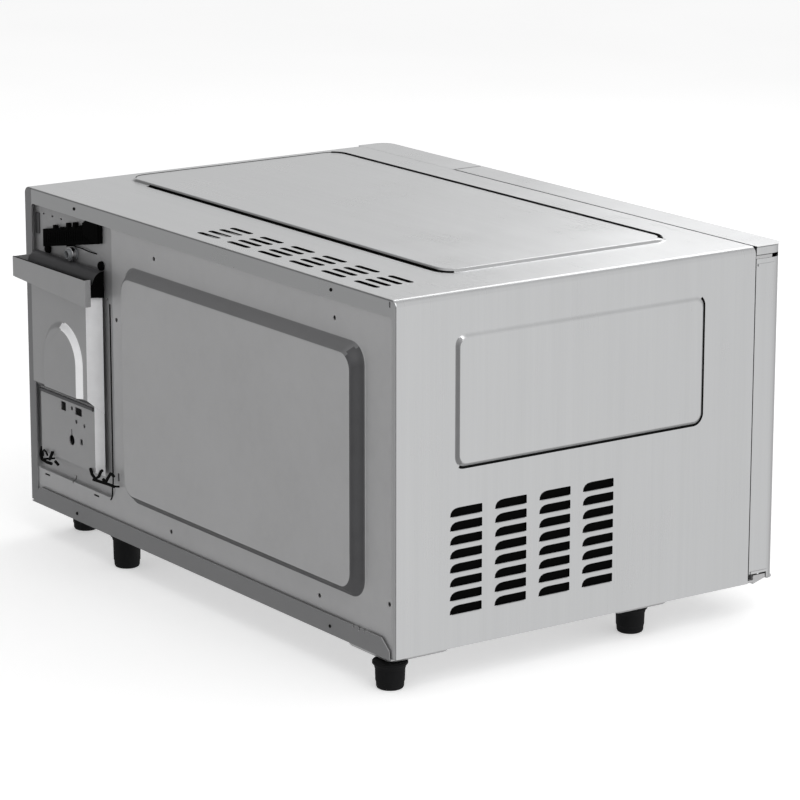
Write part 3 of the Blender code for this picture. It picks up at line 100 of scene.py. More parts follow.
# Rear panel
PANEL_Y = REAR_Y - SHEET - GAP
PAN = (-247.6, 120.0, 37.0, 248.5)
PAN_RISE = 9.5
PAN_BEVEL = 11.0
PAN_RADIUS = 18.0
RECESS = (141.0, 284.0, 33.0, 282.0)
RECESS_DEPTH = 3.5
RECESS_Y = PANEL_Y - RECESS_DEPTH
HOLE_RADIUS, GLAND_HOLE_RADIUS = 2.0, 5.0
PANEL_HOLES = ((70, 261), (-204, 261), (134, 196), (48, 25.6), (-181, 26.3), (-280, 44))
EXHAUST = (203.0, 150.0)
EXHAUST_RADIUS = 34.0
GLAND = (209.0, 241.5)
GRILLE_LEFT = (260.0, 240.0)
GRILLE_RIGHT = (161.0, 259.0)
GRILLE_TALL = 15.0

# Duct, hood and rolled plate
DUCT_LEFT, DUCT_RIGHT = 157.0, 252.0
DUCT_BACK, DUCT_FACE, LOWER_FACE = PANEL_Y + GAP, REAR_Y + 16.0, REAR_Y + 9.0
DUCT_BOTTOM, DUCT_TOP = 50.0, 224.0
DUCT_LIP_LOW, DUCT_LIP_HIGH = 107.0, 121.0
ARCH_X, ARCH_HALF = 198.0, 34.0
ARCH_SPRING, ARCH_HEIGHT = 150.0, 35.0
ARCH_RISE, ARCH_BEVEL = 3.7, 6.5
DUCT_WINDOWS = ((207.5, 216.0, 100.5, 108.5), (179.5, 191.3, 101.0, 108.0), (179.0, 183.4, 75.0, 80.5))
DUCT_DOTS = ((197.0, 105.5), (189.5, 94.7), (175.5, 93.6))
DUCT_KEYHOLE = (198.0, 76.2)
DOT_RADIUS, KEYHOLE_RADIUS = 1.9, 4.8
HOOD_LEFT, HOOD_RIGHT = 144.0, 271.0
HOOD_FACE = REAR_Y + 24.0
HOOD_LOW, HOOD_HIGH, HOOD_SLOPE = 211.0, 232.0, 3.0
HOOD_RETURN = 6.0
ROLL_RADIUS = 10.4

# Door and control panel
DOOR_BACK, DOOR_FRONT = -163.0, -194.0
DOOR_RIGHT = 135.0
DOOR_LOW, DOOR_HIGH = 2.0, 290.0
DOOR_SKIN = 1.5
THROUGH_FRONT = (DOOR_FRONT - 3, DOOR_FRONT + 6)
CORNER_RADIUS = 13.0
DOOR_WAIST, FASCIA_WAIST, GRIP_WAIST = 1.2, 1.4, 2.0  # how far each is drawn in between its ends
FASCIA_WALL = 2.5
PANEL_LEFT = 137.0
HINGE = (-286.0, -174.0)
NOTCH_RIGHT = -262.0
LOWER_NOTCH = (-182.0, 8.0)
UPPER_NOTCH = (-188.0, 279.2, 282.6)
HINGE_PLATES = (9.0, 274.0)
HANDLE_X = 100.0
HANDLE_REACH = 47.0
GRIP_SIZE = (16.0, 12.0)
HANDLE_LOW, HANDLE_HIGH = 62.0, 228.0
POST_HEIGHTS = (("lower", 82.0), ("upper", 208.0))
WINDOW = (-232.0, 62.0, 66.0, 226.0)
DISPLAY = (160.0, 267.0, 206.0, 266.0)
KEYS = {"key_up": (185.0, 186.0), "key_down": (185.0, 166.0),
        "key_start": (242.0, 186.0), "key_stop": (242.0, 166.0)}
KEY_SIZE = (40.0, 12.0)
KNOB = (213.5, 112.0)
KNOB_RADIUS, DOTS_RADIUS = 18.5, 33.0
ROCKER = (213.5, 52.0)
ROCKER_SIZE = (15.0, 26.0)
ROCKER_TILT = 7.0

FEET = {"foot_rear_left": (-262.0, 186.5), "foot_rear_middle": (148.0, 185.0),
        "foot_rear_right": (273.0, 154.0), "foot_front_left": (-255.0, -63.0),
        "foot_front_right": (255.0, -63.0)}
FOOT_HEIGHT = 32.0
FLOOR_SEAT, PAD_SEAT = -1.3, -8.8

WRAPPER_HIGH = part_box("outer_wrapper")[1]
ORIGIN = Vector((0.0, WRAPPER_HIGH.y - REAR_Y * MM, WRAPPER_HIGH.z - (BODY_HEIGHT + EMBOSS_RISE) * MM))
SMOOTH_ANGLE = math.radians(32)


# ---- Outlines, as lists of 2-D points ----

def rectangle(a0, a1, b0, b1):
    return [(a0, b0), (a1, b0), (a1, b1), (a0, b1)]


def arc(centre, radius, start, end, steps):
    """Points on an arc, in degrees, both ends included."""
    angles = [math.radians(start + (end - start) * i / steps) for i in range(steps + 1)]
    return [(centre[0] + radius * math.cos(t), centre[1] + radius * math.sin(t)) for t in angles]


def rounded(a0, a1, b0, b1, radius, steps=8):
    corners = rectangle(a0 + radius, a1 - radius, b0 + radius, b1 - radius)
    return [point for quarter in range(4)
            for point in arc(corners[quarter - 3], radius, 90 * quarter - 90, 90 * quarter, steps)]


def circle(a, b, radius, steps=32):
    return arc((a, b), radius, 0, 360, steps)[:-1]


def slot(a, b, length, height, steps=6):
    """A slot with round ends, centred on (a, b) and running along the first axis."""
    reach = (length - height) / 2
    points = arc((a + reach, b), height / 2, -90, 90, steps)
    return points + arc((a - reach, b), height / 2, 90, 270, steps)


def grown(extent, amount):
    """A box outline (a0, a1, b0, b1) moved outward by amount on each side."""
    return (extent[0] - amount, extent[1] + amount, extent[2] - amount, extent[3] + amount)


def around(centre, size, margin=0.0):
    """The extent of a box of that size round a centre, grown by margin."""
    (a, b), (wide, tall) = centre, size
    return grown((a - wide / 2, a + wide / 2, b - tall / 2, b + tall / 2), margin)


def eased(extent, margin, radius, steps=8):
    """A rounded outline that far outside a box outline."""
    return rounded(*grown(extent, margin), radius, steps)


def shifted(base, profile):
    """A profile whose depths count from base."""
    return [(base + depth, value) for depth, value in profile]


def wire(y, *points):
    """A wire's path past y: each point gives x, how far past y it is, and z."""
    return [(x, y + past, z) for x, past, z in points]


def band(points, half_width):
    """The outline of a strip of even width along an open run of points."""
    left, right = [], []
    for i, (a, b) in enumerate(points):
        before, after = points[max(i - 1, 0)], points[min(i + 1, len(points) - 1)]
        direction = Vector((after[0] - before[0], after[1] - before[1])).normalized()
        side = Vector((-direction.y, direction.x)) * half_width
        left.append((a + side.x, b + side.y))
        right.append((a - side.x, b - side.y))
    return left + right[::-1]


# ---- Solids, as bmeshes in metres ----

def place(axis, depth, a, b):
    """The point at that depth along an axis, with a and b across it."""
    return Vector({"X": (depth, a, b), "Y": (a, depth, b), "Z": (a, b, depth)}[axis]) * MM


def skin(shape, loops, capped=True):
    """Covers loops of vertices in order. It closes both ends or, uncapped, goes round to the first loop."""
    for low, high in zip(loops, loops[1:] if capped else loops[1:] + loops[:1]):
        for i in range(len(low)):
            j = (i + 1) % len(low)
            shape.faces.new((low[i], low[j], high[j], high[i]))
    if capped:
        shape.faces.new(loops[0])
        shape.faces.new(loops[-1])
    bmesh.ops.recalc_face_normals(shape, faces=shape.faces)
    return shape


def loft(axis, *sections, capped=True):
    """A solid through sections (depth, outline), which have the same number of points each."""
    shape = bmesh.new()
    return skin(shape, [[shape.verts.new(place(axis, depth, a, b)) for a, b in outline]
                        for depth, outline in sections], capped)


def prism(axis, low, high, outline):
    return loft(axis, (low, outline), (high, outline))


def ring(axis, low, high, outer, inner):
    """A frame between two outlines with the same number of points."""
    return loft(axis, (low, outer), (high, outer), (high, inner), (low, inner), capped=False)


def waisted(axis, low, high, outline_at, inset, steps=3):
    """A prism drawn in by inset between its two ends, with bevels. outline_at(inset) gives its outline."""
    insets = [inset * (1 - math.sin(math.radians(90 * i / steps))) for i in range(steps, -1, -1)]
    near = [(low + size, outline_at(size)) for size in insets]
    return loft(axis, *near, *[(low + high - depth, outline) for depth, outline in near[::-1]])


def box(x0, x1, y0, y1, z0, z1):
    return prism("Z", z0, z1, rectangle(x0, x1, y0, y1))


def turned(axis, centre, profile, steps=36):
    """A solid of revolution: profile is (depth, radius) from one end to the other."""
    return loft(axis, *[(depth, circle(*centre, radius, steps)) for depth, radius in profile])


def tube(path, radius, sides=8):
    """A round bar along a path of points in millimetres."""
    points = [Vector(p) * MM for p in path]
    angles = [2 * math.pi * k / sides for k in range(sides)]
    shape = bmesh.new()
    loops = []
    normal = None
    for i, point in enumerate(points):
        ahead = (points[min(i + 1, len(points) - 1)] - points[max(i - 1, 0)]).normalized()
        if normal is None:
            normal = ahead.orthogonal().normalized()
        normal = (normal - ahead * normal.dot(ahead)).normalized()
        across = ahead.cross(normal)
        loops.append([shape.verts.new(point + radius * MM * (normal * math.cos(t) + across * math.sin(t)))
                      for t in angles])
    return skin(shape, loops)


def as_mesh(name, shape):
    """A mesh of the bmesh, which is freed."""
    mesh = bpy.data.meshes.new(name)
    shape.to_mesh(mesh)
    shape.free()
    return mesh


def linked(name, data):
    """A new object in the scene."""
    obj = bpy.data.objects.new(name, data)
    bpy.context.scene.collection.objects.link(obj)
    return obj


def together(shapes):
    """Separate solids in one bmesh."""
    whole = bmesh.new()
    for shape in shapes:
        mesh = as_mesh("part_of_whole", shape)
        whole.from_mesh(mesh)
        bpy.data.meshes.remove(mesh)
    return whole


def boolean(base, tool, operation):
    """The union or difference of two bmeshes, by Blender's exact solver."""
    objects = [linked(label, as_mesh(label, shape)) for label, shape in (("base", base), ("tool", tool))]
    modifier = objects[0].modifiers.new("boolean", "BOOLEAN")
    modifier.operation, modifier.solver, modifier.object = operation, "EXACT", objects[1]
    bpy.context.view_layer.update()
    depsgraph = bpy.context.evaluated_depsgraph_get()
    result = bmesh.new()
    result.from_mesh(objects[0].evaluated_get(depsgraph).data)
    for obj in objects:
        mesh = obj.data
        bpy.data.objects.remove(obj)
        bpy.data.meshes.remove(mesh)
    return result


def cut(base, *tools):
    """Cuts with all the tools at once, so they mustn't touch each other."""
    return boolean(base, together(tools), "DIFFERENCE")


def joined(base, *tools):
    for tool in tools:
        base = boolean(base, tool, "UNION")
    return base


# ---- Materials ----

def add_node(tree, kind, **values):
    """A new shader node. An input's name has _ for each space."""
    node = tree.nodes.new("ShaderNode" + kind)
    for socket, value in values.items():
        node.inputs[socket.replace("_", " ")].default_value = value
    return node


class Nodes:
    """Short calls for building one material's nodes."""

    def __init__(self, name):
        self.material = bpy.data.materials.new(name)
        self.material.use_nodes = True
        self.tree = self.material.node_tree
        self.shader = self.tree.nodes["Principled BSDF"]
        self.coords = add_node(self.tree, "TexCoord").outputs["Object"]

    def link(self, source, node, socket):
        self.tree.links.new(source, node.inputs[socket])

    def noise(self, scale, stretch=(1.0, 1.0, 1.0), detail=3.0, roughness=0.55):
        mapping = add_node(self.tree, "Mapping", Scale=[scale * s for s in stretch])
        texture = add_node(self.tree, "TexNoise", Scale=1.0, Detail=detail, Roughness=roughness)
        self.link(self.coords, mapping, "Vector")
        self.link(mapping.outputs["Vector"], texture, "Vector")
        return texture.outputs["Fac"]

    def cells(self, scale):
        texture = add_node(self.tree, "TexVoronoi", Scale=scale)
        self.link(self.coords, texture, "Vector")
        return texture.outputs["Distance"]

    def blend(self, first, second, share):
        """A mix of two grey outputs, with that share of the second."""
        mix = add_node(self.tree, "Mix", Factor=share)
        self.link(first, mix, "A")
        self.link(second, mix, "B")
        return mix.outputs["Result"]

    def gloss(self, source, low, high):
        """Roughness from low to high over the source's middle values."""
        remap = add_node(self.tree, "MapRange", From_Min=0.3, From_Max=0.7, To_Min=low, To_Max=high)
        self.link(source, remap, "Value")
        self.link(remap.outputs["Result"], self.shader, "Roughness")

    def colours(self, source, *stops, sockets=("Base Color",)):
        """Colour by the source's value: stops are (position, colour)."""
        ramp = add_node(self.tree, "ValToRGB")
        elements = ramp.color_ramp.elements
        while len(elements) < len(stops):
            elements.new(0.5)
        for element, (position, colour) in zip(elements, stops):
            element.position = position
            element.color = (*colour, 1.0)
        self.link(source, ramp, "Fac")
        for socket in sockets:
            self.link(ramp.outputs["Color"], self.shader, socket)

    def shades(self, source, colour, *stops, **named):
        """Shades of one colour by the source's value: stops are (position, factor)."""
        self.colours(source, *[(position, shade(colour, factor)) for position, factor in stops], **named)

    def bump(self, height, distance, strength):
        node = add_node(self.tree, "Bump", Distance=distance * MM, Strength=strength)
        self.link(height, node, "Height")
        self.link(node.outputs["Normal"], self.shader, "Normal")

    def set(self, **values):
        for socket, value in values.items():
            self.shader.inputs[socket.replace("_", " ")].default_value = value


def shade(colour, factor):
    return tuple(min(1.0, c * factor) for c in colour)


def brushed(nodes, colour, stretch, roughness=0.30, contrast=0.05):
    """Metal with fine lines: stretch is the lines' frequency along each axis."""
    fine = nodes.noise(1100.0, stretch, 4.0, 0.7)
    wide = nodes.noise(160.0, stretch)
    cloud = nodes.noise(14.0, detail=2.0)
    lines = nodes.blend(fine, wide, 0.45)
    tone = nodes.blend(lines, cloud, 0.30)
    nodes.shades(tone, colour, (0.30, 1 - contrast), (0.5, 1), (0.70, 1 + contrast))
    nodes.gloss(nodes.blend(fine, cloud, 0.5), roughness - 0.05, roughness + 0.07)
    nodes.bump(lines, 0.010, 0.6)
    nodes.set(Metallic=1.0)


def rolled_steel(nodes, colour, roughness, metallic):
    """Plain rolled sheet: smooth satin with faint mottling and hairline marks."""
    fine = nodes.noise(900.0)
    mottle = nodes.noise(90.0, detail=4.0, roughness=0.6)
    cloud = nodes.noise(9.0, detail=2.0)
    nodes.shades(nodes.blend(mottle, cloud, 0.5), colour, (0.30, 0.94), (0.5, 1), (0.72, 1.05))
    nodes.gloss(nodes.blend(mottle, fine, 0.4), roughness - 0.05, roughness + 0.08)
    nodes.bump(nodes.blend(fine, mottle, 0.5), 0.012, 0.5)
    nodes.set(Metallic=metallic)


def moulded(nodes, colour, roughness, specular=0.5, grain=0.35, depth=0.05):
    """A moulding with a fine spark-eroded grain, worn a little smoother in patches."""
    cells = nodes.cells(1000.0 / grain)
    fine = nodes.noise(700.0)
    worn = nodes.noise(30.0)
    nodes.shades(nodes.blend(fine, worn, 0.6), colour, (0.30, 0.80), (0.55, 1), (0.80, 1.35))
    nodes.gloss(worn, roughness - 0.07, roughness + 0.09)
    nodes.bump(nodes.blend(cells, fine, 0.4), depth, 0.6)
    nodes.set(Specular_IOR_Level=specular)


def rubber(nodes, colour, roughness, specular=0.5):
    """Matt black or coloured rubber with dust on it."""
    fine = nodes.noise(800.0, detail=4.0)
    dust = nodes.noise(45.0, detail=4.0, roughness=0.65)
    nodes.shades(dust, colour, (0.35, 1), (0.62, 1.5), (0.85, 2.6))
    nodes.gloss(dust, roughness - 0.10, roughness + 0.12)
    nodes.bump(fine, 0.06, 0.5)
    nodes.set(Specular_IOR_Level=specular)


def enamel(nodes, colour):
    """Vitreous enamel: glossy with an orange-peel surface and pale specks."""
    peel = nodes.noise(180.0, detail=2.0)
    specks = nodes.noise(1400.0, detail=1.0, roughness=0.3)
    nodes.colours(specks, (0.0, shade(colour, 0.9)), (0.66, colour), (0.70, (0.42, 0.43, 0.45)))
    nodes.gloss(peel, 0.18, 0.34)
    nodes.bump(peel, 0.08, 0.5)
    nodes.set(Coat_Weight=0.4, Coat_Roughness=0.12)


def glass(nodes, tint):
    """Clear sheet with faint smears in its gloss."""
    smear = nodes.noise(22.0, (1.0, 1.0, 0.35), 4.0)
    nodes.gloss(smear, 0.02, 0.07)
    nodes.shades(smear, tint, (0.2, 0.97), (0.8, 1))
    nodes.bump(smear, 0.01, 0.15)
    nodes.set(Transmission_Weight=1.0, IOR=1.46)


def fibrous(nodes, colour):
    """Compressed mineral wool: matted fibres and soft lumps."""
    fibre = nodes.noise(420.0, (1.0, 0.25, 1.0), 5.0, 0.7)
    lumps = nodes.noise(60.0, detail=4.0)
    matted = nodes.blend(fibre, lumps, 0.5)
    nodes.shades(matted, colour, (0.25, 0.72), (0.7, 1))
    nodes.gloss(fibre, 0.88, 1.0)
    nodes.bump(matted, 0.9, 0.8)
    nodes.set(Sheen_Weight=0.2)


def circuit(nodes):
    """Green solder mask over copper tracks."""
    tracks = nodes.cells(230.0)
    fine = nodes.noise(500.0, detail=2.0)
    nodes.colours(tracks, (0.0, (0.30, 0.26, 0.12)), (0.10, (0.02, 0.20, 0.07)), (0.5, (0.01, 0.12, 0.04)),
                  (0.9, (0.02, 0.17, 0.06)))
    nodes.gloss(fine, 0.30, 0.45)
    nodes.bump(tracks, 0.04, 0.5)
    nodes.set(Coat_Weight=0.3)


def ceramic(nodes, colour):
    """Pale, slightly stained and a little translucent."""
    fine = nodes.noise(350.0, detail=4.0)
    nodes.shades(nodes.noise(40.0), colour, (0.3, 0.80), (0.6, 1))
    nodes.gloss(fine, 0.22, 0.38)
    nodes.bump(fine, 0.05, 0.4)
    nodes.set(Subsurface_Weight=0.1, Subsurface_Scale=0.004)


def laminated(nodes, colour):
    """Stacked steel sheets under brown varnish."""
    sheets = nodes.noise(1.0, (20.0, 2000.0, 20.0), 1.0)
    varnish = nodes.noise(60.0)
    nodes.shades(nodes.blend(sheets, varnish, 0.4), colour, (0.3, 0.6), (0.7, 1.4))
    nodes.gloss(varnish, 0.30, 0.60)
    nodes.bump(sheets, 0.15, 0.7)
    nodes.set(Metallic=0.6)


def lit(nodes, colour):
    """A display segment that glows a little unevenly."""
    fine = nodes.noise(600.0, detail=2.0)
    nodes.shades(fine, colour, (0.2, 0.8), (0.8, 1), sockets=("Emission Color", "Base Color"))
    nodes.gloss(fine, 0.35, 0.5)
    nodes.bump(fine, 0.01, 0.2)
    nodes.set(Emission_Strength=1.6)


ALONG_WRAP = (0.012, 1.0, 0.012)
UPRIGHT = (1.0, 1.0, 0.010)

# Name of the finish and of the slot, how it is made, its colour and the rest
SLOT_FINISHES = (
    ("brushed_steel", brushed, (0.60, 0.605, 0.61), ALONG_WRAP),
    ("zinc_steel", rolled_steel, (0.50, 0.50, 0.505), 0.44, 0.5),
    ("enamel", enamel, (0.035, 0.036, 0.040)),
    ("chrome", brushed, (0.78, 0.78, 0.79), (0.2, 1.0, 0.2), 0.14, 0.03),
    ("rubber_foot", rubber, (0.004, 0.004, 0.0045), 0.72, 0.2),
    ("black_plastic", moulded, (0.010, 0.010, 0.011), 0.46, 0.35),
    ("grey_plastic", moulded, (0.25, 0.26, 0.27), 0.50),
    ("green_plastic", moulded, (0.03, 0.30, 0.08), 0.45),
    ("red_plastic", moulded, (0.45, 0.02, 0.02), 0.45),
    ("window_glass", glass, (0.86, 0.90, 0.90)),
    ("quartz", ceramic, (0.80, 0.78, 0.74)),
    ("circuit_board", circuit),
    ("silicone_seal", rubber, (0.33, 0.07, 0.045), 0.60),
    ("mineral_wool", fibrous, (0.74, 0.72, 0.62)),
    ("laminate", laminated, (0.14, 0.12, 0.11)),
    ("aluminium", brushed, (0.70, 0.70, 0.71), (0.3, 1.0, 0.3), 0.32, 0.04),
)
# The same, with the name of the slot that it stands under
EXTRA_FINISHES = (
    ("door_steel", "brushed_steel", brushed, (0.60, 0.605, 0.61), UPRIGHT),
    # black for the duct clips; painted shade in the wrapper's grooves, slots and louvres, the top's beads,
    # the panel's seam line and the flange screws
    ("crease", "black_plastic", rubber, (0.003, 0.003, 0.003), 0.8, 0.1),
    # black for the vent block, plugs and wire stay; painted shade behind the vents, inside the duct and at
    # its end
    ("soot", "black_plastic", rubber, (0.0012, 0.0012, 0.0012), 0.9, 0.05),
    # painted shade on the pan's sloping edge, under the duct's lip and in the strip below it; also the rolled
    # plate and the clip strip
    ("drawn_edge", "zinc_steel", rolled_steel, (0.15, 0.15, 0.155), 0.42, 0.85),
    ("shaded_steel", "zinc_steel", rolled_steel, (0.25, 0.25, 0.255), 0.44, 0.5),
    ("duct_steel", "zinc_steel", rolled_steel, (0.41, 0.41, 0.415), 0.44, 0.5),
    # painted light: a lit copy of the duct's steel, for its faces that look left
    ("pale_steel", "zinc_steel", rolled_steel, (0.92, 0.92, 0.93), 0.55, 0.0),
    ("print", "grey_plastic", moulded, (0.70, 0.70, 0.68), 0.55, 0.5, 0.5, 0.01),
    ("print_black", "enamel", enamel, (0.006, 0.006, 0.007)),
    ("lit_blue", "window_glass", lit, (0.35, 0.80, 1.00)),
    ("lit_orange", "window_glass", lit, (1.00, 0.42, 0.08)),
    ("screw_steel", "chrome", brushed, (0.40, 0.40, 0.41), (1.0, 1.0, 0.3), 0.28),
)


def made(name, build, *values):
    nodes = Nodes(name)
    build(nodes, *values)
    return nodes.material


FINISHES = {name: (made(name, *rest), name) for name, *rest in SLOT_FINISHES}
FINISHES.update({name: (made(name, *rest), slot_name) for name, slot_name, *rest in EXTRA_FINISHES})


def keep_normals(obj):
    obj.modifiers.new("normals", "WEIGHTED_NORMAL").keep_sharp = True


def paint_frame():
    """Gives every CAD node the finish of its material slot."""
    slots = {row["node"]: row["material_slot"] for row in frame["record"]["subparts"]}
    for name, node in frame["nodes"].items():
        node.data.materials.clear()
        node.data.materials.append(FINISHES[slots[name]][0])
        node.modifiers.new("weld", "WELD").merge_threshold = 0.01 * MM
        keep_normals(node)


def piece(name, shape, finish, body="cabinet", stands_for=(), more=(), edge=0.0):
    """Makes a finished piece. more lists further finishes, for faces that have a material index."""
    shape.transform(Matrix.Translation(ORIGIN))
    mesh = as_mesh(name, shape)
    mesh.shade_smooth()
    obj = linked(name, mesh)
    if edge:
        bevel = obj.modifiers.new("edges", "BEVEL")
        bevel.width = edge * MM
        bevel.segments = 2
        bevel.limit_method = "ANGLE"
        bevel.angle_limit = SMOOTH_ANGLE
        bevel.use_clamp_overlap = False
    else:
        mesh.set_sharp_from_angle(angle=SMOOTH_ANGLE)
    keep_normals(obj)
    for used in (finish, *more):
        mesh.materials.append(FINISHES[used][0])
    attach(obj, body)
    if stands_for:
        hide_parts(*stands_for)


# ---- Cabinet ----

def side_section(inset):
    """The cabinet's section across X and Z, moved inward by inset, with its top corners bent."""
    half, top, radius = HALF_WIDTH - inset, BODY_HEIGHT - inset, TOP_BEND - inset
    points = [(-half, SKIRT), (half, SKIRT)]
    points += arc((half - radius, top - radius), radius, 0, 90, 8)
    return points + arc((-half + radius, top - radius), radius, 90, 180, 8)


def smooth(share):
    """A smooth S from 0 to 1."""
    return share * share * (3 - 2 * share)


def raised(axis, base, rise, extent, radius, bevel, steps=8):
    """A raised panel whose edge climbs in a smooth S from the base plane, out to base plus rise."""
    sections = [(base - math.copysign(1.0, rise), rounded(*extent, radius))]
    for share in [i / steps for i in range(steps + 1)]:
        outline = eased(extent, -bevel * share, radius - bevel * share / 2)
        sections.append((base + rise * smooth(share), outline))
    return loft(axis, *sections)


def wrapper_bulges(inset):
    side = (SIDE_EMBOSS, SIDE_EMBOSS_RADIUS, EMBOSS_BEVEL)
    return [raised("Z", BODY_HEIGHT - inset, EMBOSS_RISE, TOP_EMBOSS, TOP_EMBOSS_RADIUS, EMBOSS_BEVEL),
            raised("X", -HALF_WIDTH + inset, -EMBOSS_RISE, *side),
            raised("X", HALF_WIDTH - inset, EMBOSS_RISE, *side)]


def louvre_outline(y, z):
    """A louvre seen from the side: flat below, with its top edge falling away towards the rear."""
    half, top = LOUVRE_LENGTH / 2, z + LOUVRE_HEIGHT
    points = [(y - half, z), (y + half, z)]
    points += [(y + half * (1 - 0.55 * t * t), z + LOUVRE_HEIGHT * (1 - (1 - t) ** 2))
               for t in (0.25, 0.5, 0.75, 1)]
    return points + [(y - half + 0.6, top), (y - half, top - 0.6)]


def louvre_places():
    return [(LOUVRE_FIRST + column * LOUVRE_STEP, LOUVRE_TOP - LOUVRE_HEIGHT - row * LOUVRE_PITCH)
            for column in range(LOUVRE_COLUMNS) for row in range(LOUVRE_ROWS)]


def vent_places():
    return [(VENT_FIRST + i * VENT_PITCH, VENT_NEAR + j * VENT_STEP)
            for i in range(VENT_COLUMNS) for j in range(VENT_ROWS)]


def crease_runs():
    """Lines of painted shade along the raised panels: at the foot of the top's rear edge, on the shoulder of
    its front edge and, narrower, of its short edge, and at the foot of each side's front and bottom edges."""
    x0, x1, y0, y1 = TOP_EMBOSS
    r = TOP_EMBOSS_RADIUS
    rear = arc((x0 + r, y1 - r), r, 150, 90, 6) + [(x1 - 2.4 * r, y1)]
    r -= EMBOSS_BEVEL / 2
    x0, x1, y0, y1 = grown(TOP_EMBOSS, -EMBOSS_BEVEL - r)
    front = arc((x0, y0), r, 215, 270, 6) + arc((x1, y0), r, 270, 330, 6)
    short = arc((x1, y0), r, 330, 360, 4) + arc((x1, y1), r, 0, 60, 5)
    r = SIDE_EMBOSS_RADIUS
    a0, a1, b0, b1 = grown(SIDE_EMBOSS, -r)
    side = arc((a0, b1), r, 130, 180, 5) + arc((a0, b0), r, 180, 270, 8) + arc((a1, b0), r, 270, 300, 3)
    return rear, front, short, side


def crease_cutters():
    rear, front, short, side = crease_runs()
    high = BODY_HEIGHT + EMBOSS_RISE
    across = (HALF_WIDTH - CREASE_DEPTH, HALF_WIDTH + EMBOSS_RISE)
    return [prism("Z", BODY_HEIGHT - CREASE_DEPTH, high, band(rear, REAR_CREASE)),
            prism("Z", high - SHOULDER_DEPTH, high + 1, band(front, FRONT_CREASE)),
            prism("Z", high - SHOULDER_DEPTH, high + 1, band(short, SHORT_CREASE)),
            prism("X", -across[1], -across[0], band(side, SIDE_CREASE)),
            prism("X", *across, band(side, SIDE_CREASE))]


def gets_painted_shade(centre, normal):
    """True for the floor or a wall of a groove, and for a wall of a vent or a louvre: faces that get black
    painted shade.
    """
    near, level, upright = 0.05, 0.99, 0.1
    across = abs(centre.x)
    if centre.z > BODY_HEIGHT - SHEET and across < HALF_WIDTH - EDGE_ROOM and abs(centre.y) < REAR_Y - 9:
        floors = (BODY_HEIGHT - CREASE_DEPTH, BODY_HEIGHT + EMBOSS_RISE - SHOULDER_DEPTH)
        on_floor = normal.z > level and min(abs(centre.z - floor) for floor in floors) < near
        return on_floor or abs(normal.z) < upright and centre.y > TOP_EMBOSS[2] - EMBOSS_BEVEL
    if across > HALF_WIDTH - SHEET and EDGE_ROOM < centre.z < SIDE_EMBOSS[3] + 2 and abs(centre.y) < 150:
        on_floor = abs(normal.x) > level and abs(across - HALF_WIDTH + CREASE_DEPTH) < near
        return on_floor or abs(normal.x) < upright
    return False


def paint_wrapper(shell):
    """Paints black shade into the grooves and slots, and grey painted shade on the left rear flange and each
    side panel's rear edge.
    """
    flange_x = HALF_WIDTH - RIGHT_FLANGE
    bmesh.ops.bisect_plane(shell, geom=[*shell.verts, *shell.edges, *shell.faces],
                           plane_co=Vector((flange_x, 0, 0)) * MM, plane_no=(1, 0, 0))
    for face in shell.faces:
        centre, normal = face.calc_center_median() / MM, face.normal
        flange = centre.x > flange_x and centre.y > REAR_Y - REAR_BEND
        rear_edge = abs(centre.x) > HALF_WIDTH + 0.1 and centre.y > SIDE_EMBOSS[1] - 6
        if gets_painted_shade(centre, normal):
            face.material_index = 1
        elif normal.y > 0.3 and (flange or rear_edge):
            face.material_index = 2


def make_wrapper():
    sections = [(FRONT_Y, side_section(0.0))]
    for turn in [math.radians(22.5 * i) for i in range(5)]:
        inset = REAR_BEND * (1 - math.cos(turn))
        sections.append((REAR_Y - REAR_BEND * (1 - math.sin(turn)), side_section(inset)))
    shell = joined(loft("Y", *sections), *wrapper_bulges(0.0))
    section = [(a, b - SHEET if b == SKIRT else b) for a, b in side_section(SHEET)]
    inner = joined(prism("Y", FRONT_Y - 1, REAR_Y - SHEET, section), *wrapper_bulges(SHEET))
    r = 3
    left, right, high = -HALF_WIDTH + LEFT_FLANGE, HALF_WIDTH - RIGHT_FLANGE, BODY_HEIGHT - FLANGE_DROP
    window = [(left, -1), (right, -1), *arc((right - r, high - r), r, 0, 90, 4),
              *arc((left + r, high - r), r, 90, 180, 4)]
    shell = cut(cut(shell, inner), prism("Y", REAR_Y - 5, REAR_Y + 1, window))
    openings = [prism("X", -HALF_WIDTH - 2, -HALF_WIDTH + 3, louvre_outline(*at)) for at in louvre_places()]
    for y in [INTAKE_FIRST + i * INTAKE_PITCH for i in range(INTAKE_COUNT)]:
        outline = rounded(y, y + INTAKE_WIDTH, INTAKE_LOW, INTAKE_HIGH, 1.8, 4)
        openings.append(prism("X", HALF_WIDTH - 3, HALF_WIDTH + 2, outline))
    openings += [prism("Z", BODY_HEIGHT - 3, BODY_HEIGHT + 2, slot(*at, VENT_LENGTH, VENT_WIDTH))
                 for at in vent_places()]
    tab = prism("Y", REAR_Y - 5, REAR_Y + 2, rounded(-283.0, -281.2, 283.5, 288.5, 0.8, 3))
    shell = cut(shell, *openings, tab)
    for cutter in crease_cutters():  # they overlap, so one at a time
        shell = cut(shell, cutter)
    paint_wrapper(shell)
    piece("cabinet_wrapper", shell, "brushed_steel", stands_for=["outer_wrapper"],
          more=["crease", "shaded_steel"])


def make_beads():
    """Thin black beads in the grooves on the top panel's shoulder: painted shade lines."""
    front, short = crease_runs()[1:3]
    level = BODY_HEIGHT + EMBOSS_RISE
    beads = [tube([(x, y, level - sink) for x, y in run], radius, sides)
             for run, sink, radius, sides in ((front, 0.2, 1.1, 10), (short, 0.1, 0.45, 8))]
    piece("top_shade_beads", together(beads), "crease")


